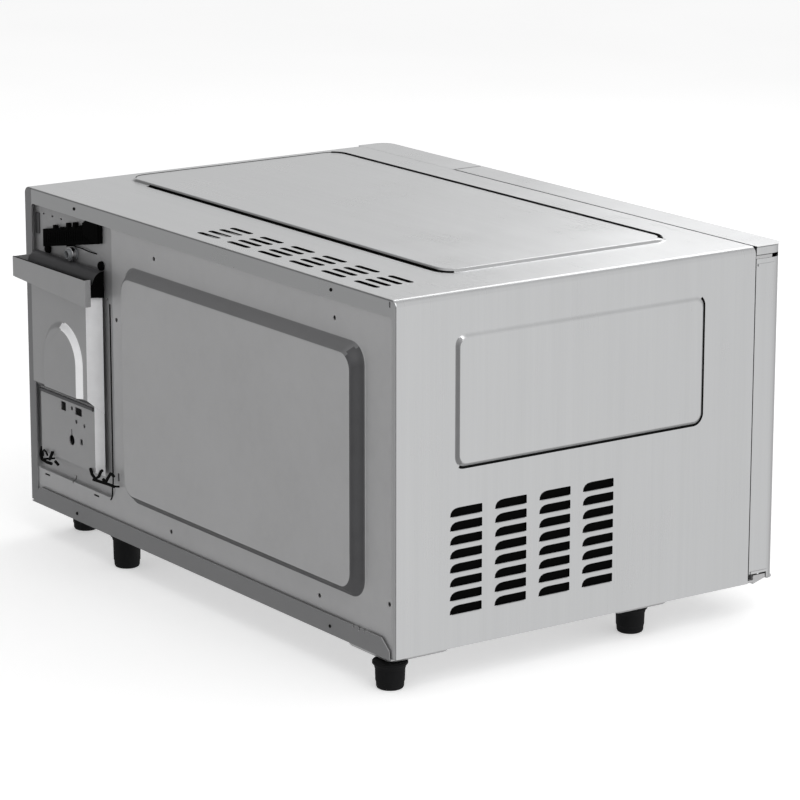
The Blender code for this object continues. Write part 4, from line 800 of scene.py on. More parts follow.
def make_louvre_lips():
    """A thin rolled lip along the lower edge of each louvre."""
    lips = []
    sunk, proud = -HALF_WIDTH + 0.6, -HALF_WIDTH - 0.12
    for y, z in louvre_places():
        half, low = LOUVRE_LENGTH / 2 - 1.0, z - 0.45
        path = [(proud, y - half + 1.5 + (2 * half - 3) * k / 6, low) for k in range(7)]
        lips.append(tube([(sunk, y - half, low), *path, (sunk, y + half, low)], 0.4, 8))
    piece("louvre_lips", together(lips), "brushed_steel")


def make_shade_sheets():
    """Black sheets of painted shade behind the louvres, the intake and the top vents. The vents' last column
    has a plain sheet behind it instead."""
    radius = 3.0
    rear_louvre = LOUVRE_FIRST + (LOUVRE_COLUMNS - 1) * LOUVRE_STEP
    side = (LOUVRE_FIRST - 20, rear_louvre + 20, LOUVRE_TOP - LOUVRE_ROWS * LOUVRE_PITCH - 4, LOUVRE_TOP + 5)
    intake_end = INTAKE_FIRST + INTAKE_PITCH * INTAKE_COUNT
    intake = (INTAKE_FIRST - 8, intake_end + 4, INTAKE_LOW - 8, INTAKE_HIGH + 8)
    last = VENT_FIRST + (VENT_COLUMNS - 1) * VENT_PITCH
    near, far = VENT_NEAR - 8, VENT_NEAR + (VENT_ROWS - 1) * VENT_STEP + 8
    vents = (VENT_FIRST - 24, last - 22, near, far)
    shade_sheets = [prism("X", -HALF_WIDTH + 1.3, -HALF_WIDTH + 1.8, rounded(*side, radius)),
              prism("X", HALF_WIDTH - 4, HALF_WIDTH - 3.4, rounded(*intake, radius)),
              prism("Z", BODY_HEIGHT - 6, BODY_HEIGHT - 5.4, rounded(*vents, radius))]
    piece("vent_shade_sheets", together(shade_sheets), "soot")
    plain = prism("Z", BODY_HEIGHT - 4.5, BODY_HEIGHT - 3.9, rounded(last - 21, last + 22, near, far, radius))
    piece("vent_plate", plain, "zinc_steel")


def make_screws():
    """The small screws in the wrapper's top flange and the base's rear flange, black for the painted shade of
    a dark hole.
    """
    places = [(x, REAR_Y, BODY_HEIGHT - 6.8) for x in (-201.0, 201.4)]
    places += [(x, BASE_REAR, 5.7) for x in (-200.0, 204.7)]
    heads = [turned("Y", (x, z), shifted(y, ((-0.4, 1.5), (0.3, 1.5), (0.8, 1.1), (0.9, 0.4))), 16)
             for x, y, z in places]
    piece("flange_screws", together(heads), "crease")


def make_base():
    floor = box(-BASE_HALF, BASE_HALF, FRONT_Y + 1, BASE_REAR, -1, 0)
    flange = prism("Y", REAR_Y + GAP, BASE_REAR, BASE_FLANGE)
    sides = [box(x, x + 1, FRONT_Y + 25, REAR_Y - 4, -1, 20) for x in (-BASE_HALF, BASE_HALF - 1)]
    pads = [raised("Z", -1, -PAD_DEPTH, pad, PAD_RADIUS, PAD_BEVEL) for pad in PADS]
    base = joined(floor, flange, *sides, *pads)
    for pad in PADS:
        base = cut(base, raised("Z", 0, -PAD_DEPTH, grown(pad, -0.6), PAD_RADIUS, PAD_BEVEL))
    slots = [prism("Z", -3, 2, rounded(x, x + 6, 30, 80, 2.9, 4)) for x in range(60, 221, 20)]
    notches = [prism("Y", REAR_Y, REAR_Y + 3, rounded(x - 1.1, x + 1.1, 12.4, 17, 1.0, 3))
               for x in (-233, -241, -248)]
    base = cut(base, *slots, *notches)
    for face in base.faces:
        if face.normal.y > 0.9 and face.calc_center_median().y > REAR_Y * MM:
            face.material_index = 1
    piece("base_pan", base, "zinc_steel", stands_for=["base_plate"], more=["shaded_steel"])


def make_feet():
    """Moulded rubber feet: a flange, a tapered body with two rings and a hollow for its screw."""
    upper = ((0, 13.9), (-0.6, 14.5), (-2.4, 14.5), (-3.0, 13.9), (-4.2, 12.9), (-6.0, 12.6), (-6.5, 12.2))
    lower = ((6.5, 11.9), (6.0, 11.5), (1.8, 11.2), (0.6, 10.6), (0, 9.6), (0, 7.6), (0.8, 7.0), (6.0, 6.6))
    screw = ((4.2, 0.6), (4.2, 3.4), (5.0, 4.2), (6.5, 4.2))
    for name, at in FEET.items():
        seat = FLOOR_SEAT if name == "foot_rear_middle" else PAD_SEAT
        foot = turned("Z", at, shifted(seat, upper) + shifted(-FOOT_HEIGHT, lower), 40)
        piece(name + "_moulding", foot, "rubber_foot", stands_for=[name])
        piece(name + "_screw", turned("Z", at, shifted(-FOOT_HEIGHT, screw), 24), "screw_steel")


# ---- Rear panel ----

def grille_outline(margin):
    (x1, z1), (x0, z0) = GRILLE_LEFT, GRILLE_RIGHT
    return [(x0 - margin, z0 - margin), (x1 + margin, z1 - margin),
            (x1 + margin, z1 + GRILLE_TALL + margin), (x0 - margin, z0 + GRILLE_TALL + margin)]


def small_slots():
    """The narrow punched slots low on the panel, and a row of short ones near its top."""
    level = ((261.6, 28.6, 9.0, 1.7), (174.3, 28.8, 9.0, 1.7), (286.8, 42.4, 5.0, 1.4))
    upright = ((215.4, 34.3, 0.9), (142.0, 77.0, 0.9), (135.2, 54.5, 1.4))
    return ([slot(*at, 4) for at in level]
            + [rounded(x - half, x + half, z - 3.6, z + 3.6, 0.8, 2) for x, z, half in upright]
            + [slot(x, 268.4, 3.6, 1.6, 4) for x in (264.0, 248.5, 233.0)])


def paint_panel(panel):
    """Paints shade on the big pan's sloping edge, the least along its top, and on the recess's floor."""
    for face in panel.faces:
        centre, normal = face.calc_center_median() / MM, face.normal
        inside = PAN[0] < centre.x < PAN[1] and PAN[2] < centre.z < PAN[3]
        if inside and PANEL_Y + 0.3 < centre.y < PANEL_Y + PAN_RISE - 0.3 and 0.05 < normal.y < 0.97:
            face.material_index = 2 if normal.z > 0.3 and normal.x > -0.3 else 1
        elif normal.y > 0.9 and abs(centre.y - RECESS_Y) < 0.1:
            face.material_index = 3


def make_rear_panel():
    inner_face = PANEL_Y - SHEET
    panel = prism("Y", inner_face, PANEL_Y, side_section(SHEET + 0.5))
    bulge = prism("Y", inner_face - RECESS_DEPTH, inner_face + 0.5, eased(RECESS, 1.0, 12.0))
    panel = joined(panel, bulge, raised("Y", PANEL_Y, PAN_RISE, PAN, PAN_RADIUS, PAN_BEVEL, 10))
    pan_inside = raised("Y", inner_face, PAN_RISE, grown(PAN, -0.6), PAN_RADIUS, PAN_BEVEL, 10)
    recess = loft("Y", *[(y, eased(RECESS, margin, 11.0 + margin)) for y, margin in (
        (RECESS_Y, -1.6), (RECESS_Y + 0.8, -0.6), (PANEL_Y - 0.8, 0.0), (PANEL_Y + 1, 1.2))])
    panel = cut(panel, pan_inside, recess)
    outlines = [circle(*at, HOLE_RADIUS, 14) for at in PANEL_HOLES] + small_slots()
    outlines += [circle(*EXHAUST, EXHAUST_RADIUS, 48), circle(*GLAND, GLAND_HOLE_RADIUS, 24),
                 grille_outline(-1.5), circle(154.7, 209.9, 1.3, 12)]
    panel = cut(panel, *[prism("Y", PANEL_Y - 9, PANEL_Y + 2, outline) for outline in outlines])
    paint_panel(panel)
    piece("rear_sheet", panel, "zinc_steel", stands_for=["rear_panel"],
          more=["drawn_edge", "shaded_steel", "duct_steel"])


def make_panel_trim():
    """Small things on the rear panel: a curled seam drawn as a black line of painted shade, plugs, a cover
    strip and a wire stay.
    """
    face = PANEL_Y + 0.3
    curl = [(144.3, face, 208.0 - 8 * k) for k in range(21)]
    curl += [(145.6 + 3.5 * (1 - math.cos(turn)), face, 42.0 - 11 * math.sin(turn))
             for turn in [math.radians(15 * k) for k in range(7)]]
    # the seam as a black line of painted shade along the recess's edge
    piece("panel_seam_shade_line", tube(curl, 0.65, 6), "crease")
    profile = shifted(RECESS_Y, ((-2, 2.4), (0.2, 2.4), (0.2, 4.2), (2.2, 4.0), (3.4, 2.8), (3.7, 1.2)))
    plugs = [turned("Y", at, profile, 24) for at in ((255.5, 238.0), (162.5, 238.5))]
    piece("panel_plugs", together(plugs), "soot")
    strip = prism("Y", RECESS_Y + 0.1, RECESS_Y + 1.3, rounded(271.0, 277.0, 249, 268, 0.8, 3))
    piece("panel_clip_strip", strip, "drawn_edge", edge=0.2)
    rod = wire(RECESS_Y, (222.2, 1.0, 246.0), (210.0, 1.8, 248.6), (194.0, 2.2, 249.0), (182.0, 1.8, 248.0),
               (171.0, 0.6, 247.6))
    piece("panel_wire_stay", tube(rod, 0.55), "soot")


def make_grille():
    """The black vent block: a slanted band of upright fins with short teeth along its top and, at its inner
    end, a taller part."""
    base = RECESS_Y
    block = joined(prism("Y", base - 8, base + 2.6, grille_outline(-2.0)),
                   prism("Y", base + GAP, base + 3.2, grille_outline(0.5)))
    pitch, count, first = 4.0, 23, 5.5
    x0, z0 = GRILLE_RIGHT
    slope = (GRILLE_LEFT[1] - z0) / (GRILLE_LEFT[0] - x0)
    slots = []
    for past in [first + i * pitch for i in range(count)]:
        x, z = x0 + past, z0 + slope * past
        slots.append(box(x - 0.5, x + 0.5, base - 20, base + 20, z + 3.0, z + GRILLE_TALL - 3.0))
    piece("vent_block", cut(block, *slots), "soot", stands_for=["rear_vent_grille"])
    teeth = []
    for x, tall in ((239.2, 3.4), (227.0, 1.2), (216.0, 4.6), (203.7, 4.8), (194.0, 1.6)):
        z = z0 + slope * (x - x0) + GRILLE_TALL - 1
        outline = [(x - 2.4, z), (x + 2.4, z), (x + 1.8, z + tall + 1), (x - 1.8, z + tall + 1)]
        teeth.append(prism("Y", base + 0.5, base + 4.0, outline))
    teeth.append(prism("Y", base + 0.5, base + 4.6, [(162.0, 258.5), (172.0, 258.0), (188.0, 262.0),
                                                     (188.7, 272.5), (183.0, 276.0), (162.5, 277.5)]))
    piece("vent_block_teeth", together(teeth), "soot", edge=0.25)


def make_gland():
    """The cord gland: a bright ring nut round the gland's own body, which is open right through."""
    base = RECESS_Y
    profile = ((-3, 4.6), (GAP, 4.6), (GAP, 5.7), (2.2, 5.7), (2.2, 4.9), (7.6, 4.8), (8.6, 4.4), (9, 4.0))
    body = turned("Y", GLAND, shifted(base, profile))
    bore = prism("Y", base - 9, base + 15, circle(*GLAND, 3.4, 28))
    piece("gland_body", cut(body, bore), "grey_plastic", stands_for=["cord_gland"])
    nut = ring("Y", base + 2.6, base + 6.2, circle(*GLAND, 6.2, 12), circle(*GLAND, 5.1, 12))
    piece("gland_nut", nut, "chrome", edge=0.3)


# ---- Exhaust duct, hood and rolled plate ----

def duct_side(front, low_back, low_front, high, back=DUCT_BACK):
    return [(back, low_back), (front, low_front), (front, high), (back, high)]


def duct_arch(inset):
    """The pointed bulge on the duct's front, standing on its slanted lip."""
    base = DUCT_FACE - inset
    low, half_width = DUCT_LIP_HIGH + GAP + inset, ARCH_HALF - inset
    reach = (half_width ** 2 + ARCH_HEIGHT ** 2) / (2 * half_width)
    tip = math.degrees(math.asin(min(1.0, ARCH_HEIGHT / reach)))

    def outline(shrink):
        radius = reach - shrink
        left = arc((ARCH_X - half_width + reach, ARCH_SPRING), radius, 180, 180 - tip, 14)
        right = arc((ARCH_X + half_width - reach, ARCH_SPRING), radius, tip, 0, 14)
        return [(ARCH_X - half_width + shrink, low), *left, *right, (ARCH_X + half_width - shrink, low)]

    sections = [(base + ARCH_RISE * smooth(share), outline(ARCH_BEVEL * share))
                for share in [i / 6 for i in range(7)]]
    return loft("Y", (base - 0.5, outline(0.0)), *sections)


def duct_hollow():
    """The air space inside the duct, open at the back and at the top."""
    back = DUCT_BACK - 2
    upper = prism("X", DUCT_LEFT + SHEET, DUCT_RIGHT - SHEET,
                  duct_side(DUCT_FACE - SHEET, DUCT_LIP_LOW + 1, DUCT_LIP_HIGH + 1, DUCT_TOP + 2, back))
    lower = prism("X", DUCT_LEFT + GAP + SHEET, DUCT_RIGHT - GAP - SHEET,
                  duct_side(LOWER_FACE - SHEET, DUCT_BOTTOM + 1, DUCT_BOTTOM + 6, DUCT_LIP_HIGH + 8, back))
    return joined(upper, lower, duct_arch(SHEET))


def mark_duct_faces(cover):
    """Paints shade on the slanted undersides (second finish) and the inside (third), and light on what faces
    left (fourth).
    """
    inner = SHEET * 0.5
    for face in cover.faces:
        centre, normal = face.calc_center_median() / MM, face.normal
        on_left = centre.x < DUCT_LEFT + inner
        outside = on_left or centre.x > DUCT_RIGHT - inner or centre.y > DUCT_FACE - inner
        if normal.z < -0.3 and normal.y > 0.05:
            face.material_index = 1
        elif on_left and normal.x < -0.9 or centre.y > DUCT_FACE + 0.05 and normal.x < -0.04:
            face.material_index = 3
        elif normal.y < -0.3 and not outside:
            face.material_index = 2


def make_duct():
    upper = prism("X", DUCT_LEFT, DUCT_RIGHT, duct_side(DUCT_FACE, DUCT_LIP_LOW, DUCT_LIP_HIGH, DUCT_TOP))
    lower = prism("X", DUCT_LEFT + GAP, DUCT_RIGHT - GAP,
                  duct_side(LOWER_FACE, DUCT_BOTTOM, DUCT_BOTTOM + 5, DUCT_LIP_HIGH + 6))
    cover = cut(joined(upper, lower, duct_arch(0.0)), duct_hollow())
    x, z = DUCT_KEYHOLE
    outlines = [rounded(*window, 1.0, 3) for window in DUCT_WINDOWS]
    outlines += [circle(*dot, DOT_RADIUS, 12) for dot in DUCT_DOTS]
    outlines += [circle(x, z, KEYHOLE_RADIUS, 20), rounded(x - 1.0, x + 1.0, z, z + 10.0, 0.7, 2)]
    for outline in outlines:
        cover = cut(cover, prism("Y", REAR_Y, DUCT_FACE - 2, outline))
    mark_duct_faces(cover)
    piece("duct_shell", cover, "duct_steel", stands_for=["duct_cover"],
          more=["drawn_edge", "soot", "pale_steel"])
    # A dark strip under the duct's lip: painted shade below the lip.
    strip = (LOWER_FACE + 0.1, LOWER_FACE + 2.2, DUCT_LIP_LOW + 3.6, DUCT_LIP_LOW + 7.2)
    lip_shade_band = waisted("X", DUCT_LEFT + 1, DUCT_RIGHT - 1, lambda inset: rectangle(*grown(strip, -inset)), 0.5)
    piece("duct_lip_shade_band", lip_shade_band, "drawn_edge")


def make_hood():
    """The trough round the duct's top: a front lip, a floor, a full left return and a short right one."""
    low_left, low_right = HOOD_LOW - HOOD_SLOPE, HOOD_LOW + HOOD_SLOPE
    outer = prism("Y", DUCT_BACK, HOOD_FACE, [(HOOD_LEFT, low_left), (HOOD_RIGHT, low_right),
                                              (HOOD_RIGHT, HOOD_HIGH), (HOOD_LEFT, HOOD_HIGH)])
    left, right, high, back = HOOD_LEFT + SHEET, HOOD_RIGHT - SHEET, HOOD_HIGH + 2, DUCT_BACK - 2
    inner = prism("Y", back, HOOD_FACE - SHEET, [(left, low_left + 1), (right, low_right + 1), (right, high),
                                                 (left, high)])
    duct_way = box(DUCT_LEFT - 0.4, DUCT_RIGHT + 0.4, back, DUCT_FACE + 0.4, low_left - 2, high)
    cut_away = box(HOOD_LEFT - 2, DUCT_LEFT, back, HOOD_FACE - HOOD_RETURN, low_left - 2, high)
    hood = cut(cut(cut(outer, inner), duct_way), cut_away)
    piece("hood_trough", hood, "duct_steel", stands_for=["duct_hood"], edge=0.3)
    edge_line = [(x, HOOD_FACE - SHEET / 2, HOOD_HIGH + 0.1) for x in (HOOD_LEFT + 1, HOOD_RIGHT - 1)]
    piece("hood_lip_bead", tube(edge_line, 0.45), "crease")


def make_duct_roll():
    centre = (DUCT_BACK, DUCT_TOP + 1)
    outline = arc(centre, ROLL_RADIUS, 0, 90, 14) + arc(centre, ROLL_RADIUS - 1, 90, 0, 14)
    roll = prism("X", DUCT_LEFT - 2, HOOD_RIGHT - 2, outline)
    piece("rolled_plate", roll, "drawn_edge", stands_for=["duct_roll"])
    # A black cap at the duct's end: painted shade where the roll's end is open.
    end = arc(centre, ROLL_RADIUS + 0.3, 0, 90, 10) + [(DUCT_BACK, HOOD_LOW + 1), (DUCT_FACE, HOOD_LOW + 3),
                                                       (DUCT_FACE, DUCT_TOP)]
    piece("duct_end_shade_cap", prism("X", DUCT_LEFT - 3.4, DUCT_LEFT - 2.2, end), "soot", edge=0.3)


def make_duct_clips():
    """Two bent wire springs that hold the duct's lower corners to the panel: a long leg, hooks and a foot."""
    face = LOWER_FACE + 0.9
    paths = [((255.5, -3, 57.5), (253.5, 0, 52.0), (251.0, 0, 47.0), (243.0, 0, 46.2), (235.7, -1, 46.0)),
             ((231.6, 0, 58.5), (232.0, 1, 55.5), (234.0, 1, 52.5), (237.3, 0, 50.0)),
             ((229.2, -1, 50.0), (228.6, -4, 46.0)),
             ((164.8, 0, 57.5), (160.5, 1, 53.5), (156.5, 0, 50.0), (153.5, -2, 52.5), (151.5, -3, 57.5),
              (149.5, -3, 58.5)),
             ((148.0, -3, 51.0), (143.4, -3, 49.4), (140.0, -3, 54.0), (136.8, -4, 58.5), (133.4, -4, 58.3),
              (132.6, -5, 56.0)),
             ((160.0, 0, 48.6), (150.0, -2, 48.2), (140.0, -4, 47.9), (132.5, -5, 47.4))]
    hook = ((249.0, 0, 51.0), (247.5, 1, 55.0), (244.2, 1.5, 57.5), (241.5, 1, 56.0), (240.8, 0, 52.5))
    clips = [tube(wire(face, *path), 1.4) for path in paths] + [tube(wire(face, *hook), 0.9)]
    piece("duct_clips", together(clips), "crease")
    feet = [[(251.0, face - 2, 47.0), (252.5, RECESS_Y + 1.0, 45.5)],
            [(133.5, face - 5, 47.5), (133.0, PANEL_Y + 0.8, 46.5)]]
    piece("duct_clip_feet", together([tube(path, 0.9) for path in feet]), "crease")


# ---- Door ----

def corner_plan(left, right, back, radius, rounded_left, inset):
    """A door or fascia seen from above, with the front edge at one end rounded."""
    l, r, f, size = left + inset, right - inset, DOOR_FRONT + inset, radius - inset
    if rounded_left:
        return [(l, back)] + arc((l + size, f + size), size, 180, 270, 14) + [(r, f), (r, back)]
    return [(l, back), (l, f)] + arc((r - size, f + size), size, -90, 0, 14) + [(r, back)]


def door_plan(inset, back=DOOR_BACK):
    return corner_plan(-HALF_WIDTH, DOOR_RIGHT, back, CORNER_RADIUS, True, inset)


def fascia_plan(inset, back=FRONT_Y - GAP):
    return corner_plan(PANEL_LEFT, HALF_WIDTH, back, CORNER_RADIUS, False, inset)


def hinge_notches():
    """Cutters for the two notches that the hinge brackets stand in while the door turns round them."""
    left, rear = -HALF_WIDTH - 2, DOOR_BACK + 2
    return [box(left, NOTCH_RIGHT, LOWER_NOTCH[0], rear, DOOR_LOW - 2, LOWER_NOTCH[1]),
            box(left, NOTCH_RIGHT, UPPER_NOTCH[0], rear, UPPER_NOTCH[1], UPPER_NOTCH[2])]


def make_door():
    shell = waisted("Z", DOOR_LOW, DOOR_HIGH, door_plan, DOOR_WAIST)
    hollow = prism("Z", DOOR_LOW + DOOR_SKIN, DOOR_HIGH - DOOR_SKIN, door_plan(DOOR_SKIN, DOOR_BACK + 2))
    plates = [box(-HALF_WIDTH + 0.5, NOTCH_RIGHT + 1, LOWER_NOTCH[0] - 0.5, DOOR_BACK - 1.8, z - 1, z + 1)
              for z in HINGE_PLATES]
    window = prism("Y", *THROUGH_FRONT, rounded(*WINDOW, 10.0, 10))
    pins = [prism("Z", z - 2, z + 2, circle(*HINGE, 2.4, 20)) for z in HINGE_PLATES]
    shell = cut(joined(cut(shell, hollow), *plates), window, *hinge_notches(), *pins)
    piece("door_skin", shell, "door_steel", "door", ["door_shell"])
    trim = ring("Y", DOOR_FRONT - 1.2, DOOR_FRONT + 1.0, eased(WINDOW, 2.2, 12.2, 10),
                eased(WINDOW, -0.6, 9.4, 10))
    piece("window_trim", trim, "chrome", "door", edge=0.4)
    glass_back = DOOR_FRONT + DOOR_SKIN + GAP + 4
    mask = ring("Y", glass_back + 0.1, glass_back + 0.5, eased(WINDOW, 5.0, 9.0, 10),
                eased(WINDOW, -16.0, 8.0, 10))
    piece("window_mask", mask, "print_black", "door")


def make_handle():
    front = DOOR_FRONT - HANDLE_REACH
    wide, deep = GRIP_SIZE

    def grip_outline(inset):
        return slot(HANDLE_X, front + deep / 2, wide - 2 * inset, deep - 2 * inset, 12)

    grip = waisted("Z", HANDLE_LOW, HANDLE_HIGH, grip_outline, GRIP_WAIST, 5)
    piece("handle_bar", grip, "door_steel", "door", ["handle_grip"])
    profile = shifted(front, ((deep + GAP, 5.0), (16, 4.4)))
    profile += shifted(DOOR_FRONT, ((-8, 4.4), (-4.5, 5.0), (-3.0, 6.4), (-1.6, 7.5), (-GAP, 7.5)))
    for label, z in POST_HEIGHTS:
        post = turned("Y", (HANDLE_X, z), profile, 32)
        piece("handle_stem_" + label, post, "chrome", "door", ["handle_post_" + label])


# ---- Control panel ----

def make_fascia():
    shell = waisted("Z", DOOR_LOW, DOOR_HIGH, fascia_plan, FASCIA_WAIST)
    hollow = prism("Z", DOOR_LOW + FASCIA_WALL, DOOR_HIGH - FASCIA_WALL,
                   fascia_plan(FASCIA_WALL, FRONT_Y + 2))
    outlines = [rounded(*DISPLAY, 4.0), circle(*KNOB, 4.5, 24), rectangle(*around(ROCKER, ROCKER_SIZE, 2.4))]
    outlines += [rounded(*around(at, KEY_SIZE, 0.4), 2.9, 5) for at in KEYS.values()]
    dish = turned("Y", KNOB, [(DOOR_FRONT + depth, KNOB_RADIUS + wider)
                              for depth, wider in ((-2, 3.6), (0, 2.8), (0.8, 1.2))], 64)
    shell = cut(cut(shell, hollow), *[prism("Y", *THROUGH_FRONT, outline) for outline in outlines], dish)
    piece("fascia_panel", shell, "door_steel", stands_for=["control_fascia"])
    trim = ring("Y", DOOR_FRONT - 0.7, DOOR_FRONT + 0.4, eased(DISPLAY, 2.0, 6.0), eased(DISPLAY, 0.1, 4.1))
    piece("display_trim", trim, "chrome", edge=0.25)


def printed(outlines, y=DOOR_FRONT - 0.12):
    """Flat printed marks, 0.17 mm thick, on a face that looks to the front."""
    return together([prism("Y", y, y + 0.17, outline) for outline in outlines])


def make_dial_marks():
    """Ticks round the knob, longer at every fifth, with dots that grow along the sweep."""
    ticks = []
    count = 21
    for i in range(count):
        angle = math.radians(-135 + 270 * i / (count - 1))
        length, half = (4.2, 0.45) if i % 5 == 0 else (2.6, 0.3)
        sin, cos, inner = math.sin(angle), math.cos(angle), KNOB_RADIUS + 5.2
        ticks.append([(KNOB[0] + sin * r + cos * s, KNOB[1] + cos * r - sin * s)
                      for s, r in rectangle(-half, half, inner, inner + length)])
    piece("dial_ticks", printed(ticks), "print_black")
    dots = [circle(*at, 0.6 + 0.1 * i, 16) for i, at in enumerate(arc(KNOB, DOTS_RADIUS, 210, -30, 8))]
    piece("dial_dots", printed(dots), "print_black")


SEGMENTS = {"0": "abcdef", "2": "abged", "3": "abgcd", "4": "fgbc", "5": "afgcd"}


def digit(character, x, z, width, height, thick):
    """The lit bars of one seven-segment digit, as outlines, with (x, z) its lower left corner."""
    right, top, mid, half = x + width, z + height, z + height / 2, thick / 2
    bars = {"a": (x, right, top - thick, top), "b": (right - thick, right, mid, top),
            "c": (right - thick, right, z, mid), "d": (x, right, z, z + thick), "e": (x, x + thick, z, mid),
            "f": (x, x + thick, mid, top), "g": (x, right, mid - half, mid + half)}
    return [rectangle(*grown(bars[name], -0.22)) for name in SEGMENTS[character]]


def make_display():
    """The lit display: a temperature, a clock and a heating curve over its grid."""
    y = DOOR_FRONT + 2.7
    x0, x1, z0, z1 = DISPLAY
    left, base = x1 - 44.0, z0 + 8.0
    bars = []
    for i, character in enumerate("245"):
        bars += digit(character, left + i * 12.5, z1 - 24.0, 9.0, 15.0, 1.8)
    piece("display_digits", printed(bars, y), "lit_orange")
    clock = []
    for i, character in enumerate("0430"):
        clock += digit(character, left + i * 9.0 + (3.0 if i > 1 else 0.0), base, 6.0, 9.5, 1.2)
    clock += [circle(x1 - 25.2, base + dz, 0.7, 12) for dz in (3.0, 6.5)]
    piece("display_clock", printed(clock, y), "lit_blue")
    x, wide, tall, thin = x0 + 7.0, 46.0, 42.0, 0.12
    curve = ((0.0, 0.05), (0.12, 0.30), (0.25, 0.48), (0.40, 0.53), (0.52, 0.58), (0.62, 0.75), (0.70, 0.93),
             (0.76, 0.97), (0.82, 0.86), (0.90, 0.52), (1.0, 0.22))
    line = band([(x + wide * a, base + tall * b) for a, b in curve], 0.7)
    piece("display_curve", printed([line], y), "lit_orange")
    grid = [rectangle(x, x + wide, base + tall * k / 4 - thin, base + tall * k / 4 + thin) for k in range(5)]
    grid += [rectangle(x + wide * k / 6 - thin, x + wide * k / 6 + thin, base, base + tall) for k in range(7)]
    piece("display_grid", printed(grid, y + 0.25), "lit_blue")
    backing = prism("Y", DOOR_FRONT + 3.02, DOOR_FRONT + 3.15, eased(DISPLAY, -1.2, 3.0, 4))
    piece("display_backing", backing, "print_black")


def make_keys():
    front = DOOR_FRONT - 2.2
    sections = [(DOOR_FRONT + 4.4, 0.0)]
    sections += shifted(front, ((0.9, 0.0), (0.45, -0.15), (0.12, -0.5), (0.0, -1.0), (0.25, -3.2)))
    finishes = {"key_start": "green_plastic", "key_stop": "red_plastic"}
    marks = {"key_up": ((-3.2, -1.8), (3.2, -1.8), (0, 2.6)), "key_stop": rectangle(-2.3, 2.3, -2.3, 2.3),
             "key_down": ((-3.2, 1.8), (0, -2.6), (3.2, 1.8)),
             "key_start": ((-1.9, -2.8), (3.0, 0), (-1.9, 2.8))}
    for name, (x, z) in KEYS.items():
        cap = loft("Y", *[(y, rounded(*around((x, z), KEY_SIZE, margin), max(0.4, 2.5 + margin), 6))
                          for y, margin in sections])
        piece(name + "_cap", cap, finishes.get(name, "grey_plastic"), name + "_body", [name])
        mark = [(x + dx, z + dz) for dx, dz in marks[name]]
        piece(name + "_mark", printed([mark], front + 0.12), "print", name + "_body")


def make_knob():
    """A fluted knob on its shaft, with a dished face and a pale pointer."""
    flutes, groove = 36, 0.8
    front, back = DOOR_FRONT - 20, DOOR_FRONT - 1
    angles = [2 * math.pi * i / (flutes * 6) for i in range(flutes * 6)]

    def fluted(scale, depth):
        radii = [KNOB_RADIUS - groove * depth * (0.5 - 0.5 * math.cos(flutes * t)) ** 2 for t in angles]
        return [(KNOB[0] + r * scale * math.cos(t), KNOB[1] + r * scale * math.sin(t))
                for t, r in zip(angles, radii)]

    rows = [(front + past, scale, depth) for past, scale, depth in (
        (1.1, 0.70, 0), (0.9, 0.74, 0), (0.1, 0.78, 0), (0, 0.80, 0), (0.15, 0.835, 0.1), (0.7, 0.87, 0.5),
        (2.2, 0.91, 1))]
    rows += [(back - short, scale, depth) for short, scale, depth in (
        (3.5, 0.975, 1), (2.6, 0.99, 0.4), (2.0, 1, 0), (0.4, 1, 0), (0, 0.985, 0))]
    body = loft("Y", *[(y, fluted(scale, depth)) for y, scale, depth in rows])
    shaft = turned("Y", KNOB, [(back - 3, 3.0), (DOOR_FRONT + 11.5, 3.0)], 24)
    piece("knob_moulding", joined(body, shaft), "black_plastic", "knob", ["control_knob"])
    x, z = KNOB
    pointer = rounded(x - 0.8, x + 0.8, z + 3.0, z + KNOB_RADIUS * 0.72, 0.7, 4)
    piece("knob_pointer", prism("Y", front + 0.5, front + 1.6, pointer), "print", "knob")


def make_power_switch():
    x, z = ROCKER
    front, back = DOOR_FRONT - 1.5, DOOR_FRONT + 16
    rows = shifted(front, ((0, 0.9), (0.25, 0.3), (0.8, 0), (1.5 - GAP, 0)))
    bezel = loft("Y", *[(y, rounded(*around(ROCKER, ROCKER_SIZE, 4.0 - inset), 2.0 - inset * 0.5, 5))
                        for y, inset in rows])
    case = prism("Y", front + 0.5, back, rectangle(*around(ROCKER, ROCKER_SIZE, 2.0)))
    well = prism("Y", front - 2, back - 4, rectangle(*around(ROCKER, ROCKER_SIZE, 0.4)))
    piece("switch_frame", cut(joined(bezel, case), well), "black_plastic", stands_for=["switch_housing"])
    half, pivot_y, face = ROCKER_SIZE[1] / 2 - 0.6, DOOR_FRONT + 4, DOOR_FRONT - 2.5
    bow = [(face + 0.4 + 1.4 * t * t, z + half * t) for t in [k / 6 for k in range(-6, 7)]]
    outline = bow + [(pivot_y + 1.5, z + half - 1.5), (pivot_y + 5, z), (pivot_y + 1.5, z - half + 1.5)]
    rocker = prism("X", x - ROCKER_SIZE[0] / 2, x + ROCKER_SIZE[0] / 2, outline)
    pivot = Vector((x, pivot_y, z)) * MM
    tilt = Matrix.Rotation(math.radians(-ROCKER_TILT), 4, "X")
    turn = Matrix.Translation(pivot) @ tilt @ Matrix.Translation(-pivot)
    rocker.transform(turn)
    piece("rocker_paddle", rocker, "red_plastic", "rocker", ["power_rocker"], edge=0.35)
    depths = (face + 0.75, face + 1.1)
    marks = together([prism("Y", *depths, rectangle(x - 0.5, x + 0.5, z + 5.0, z + 9.5)),
                      ring("Y", *depths, circle(x, z - 7.2, 2.3, 24), circle(x, z - 7.2, 1.5, 24))])
    marks.transform(turn)
    piece("rocker_marks", marks, "print", "rocker")


# ---- Studio ----

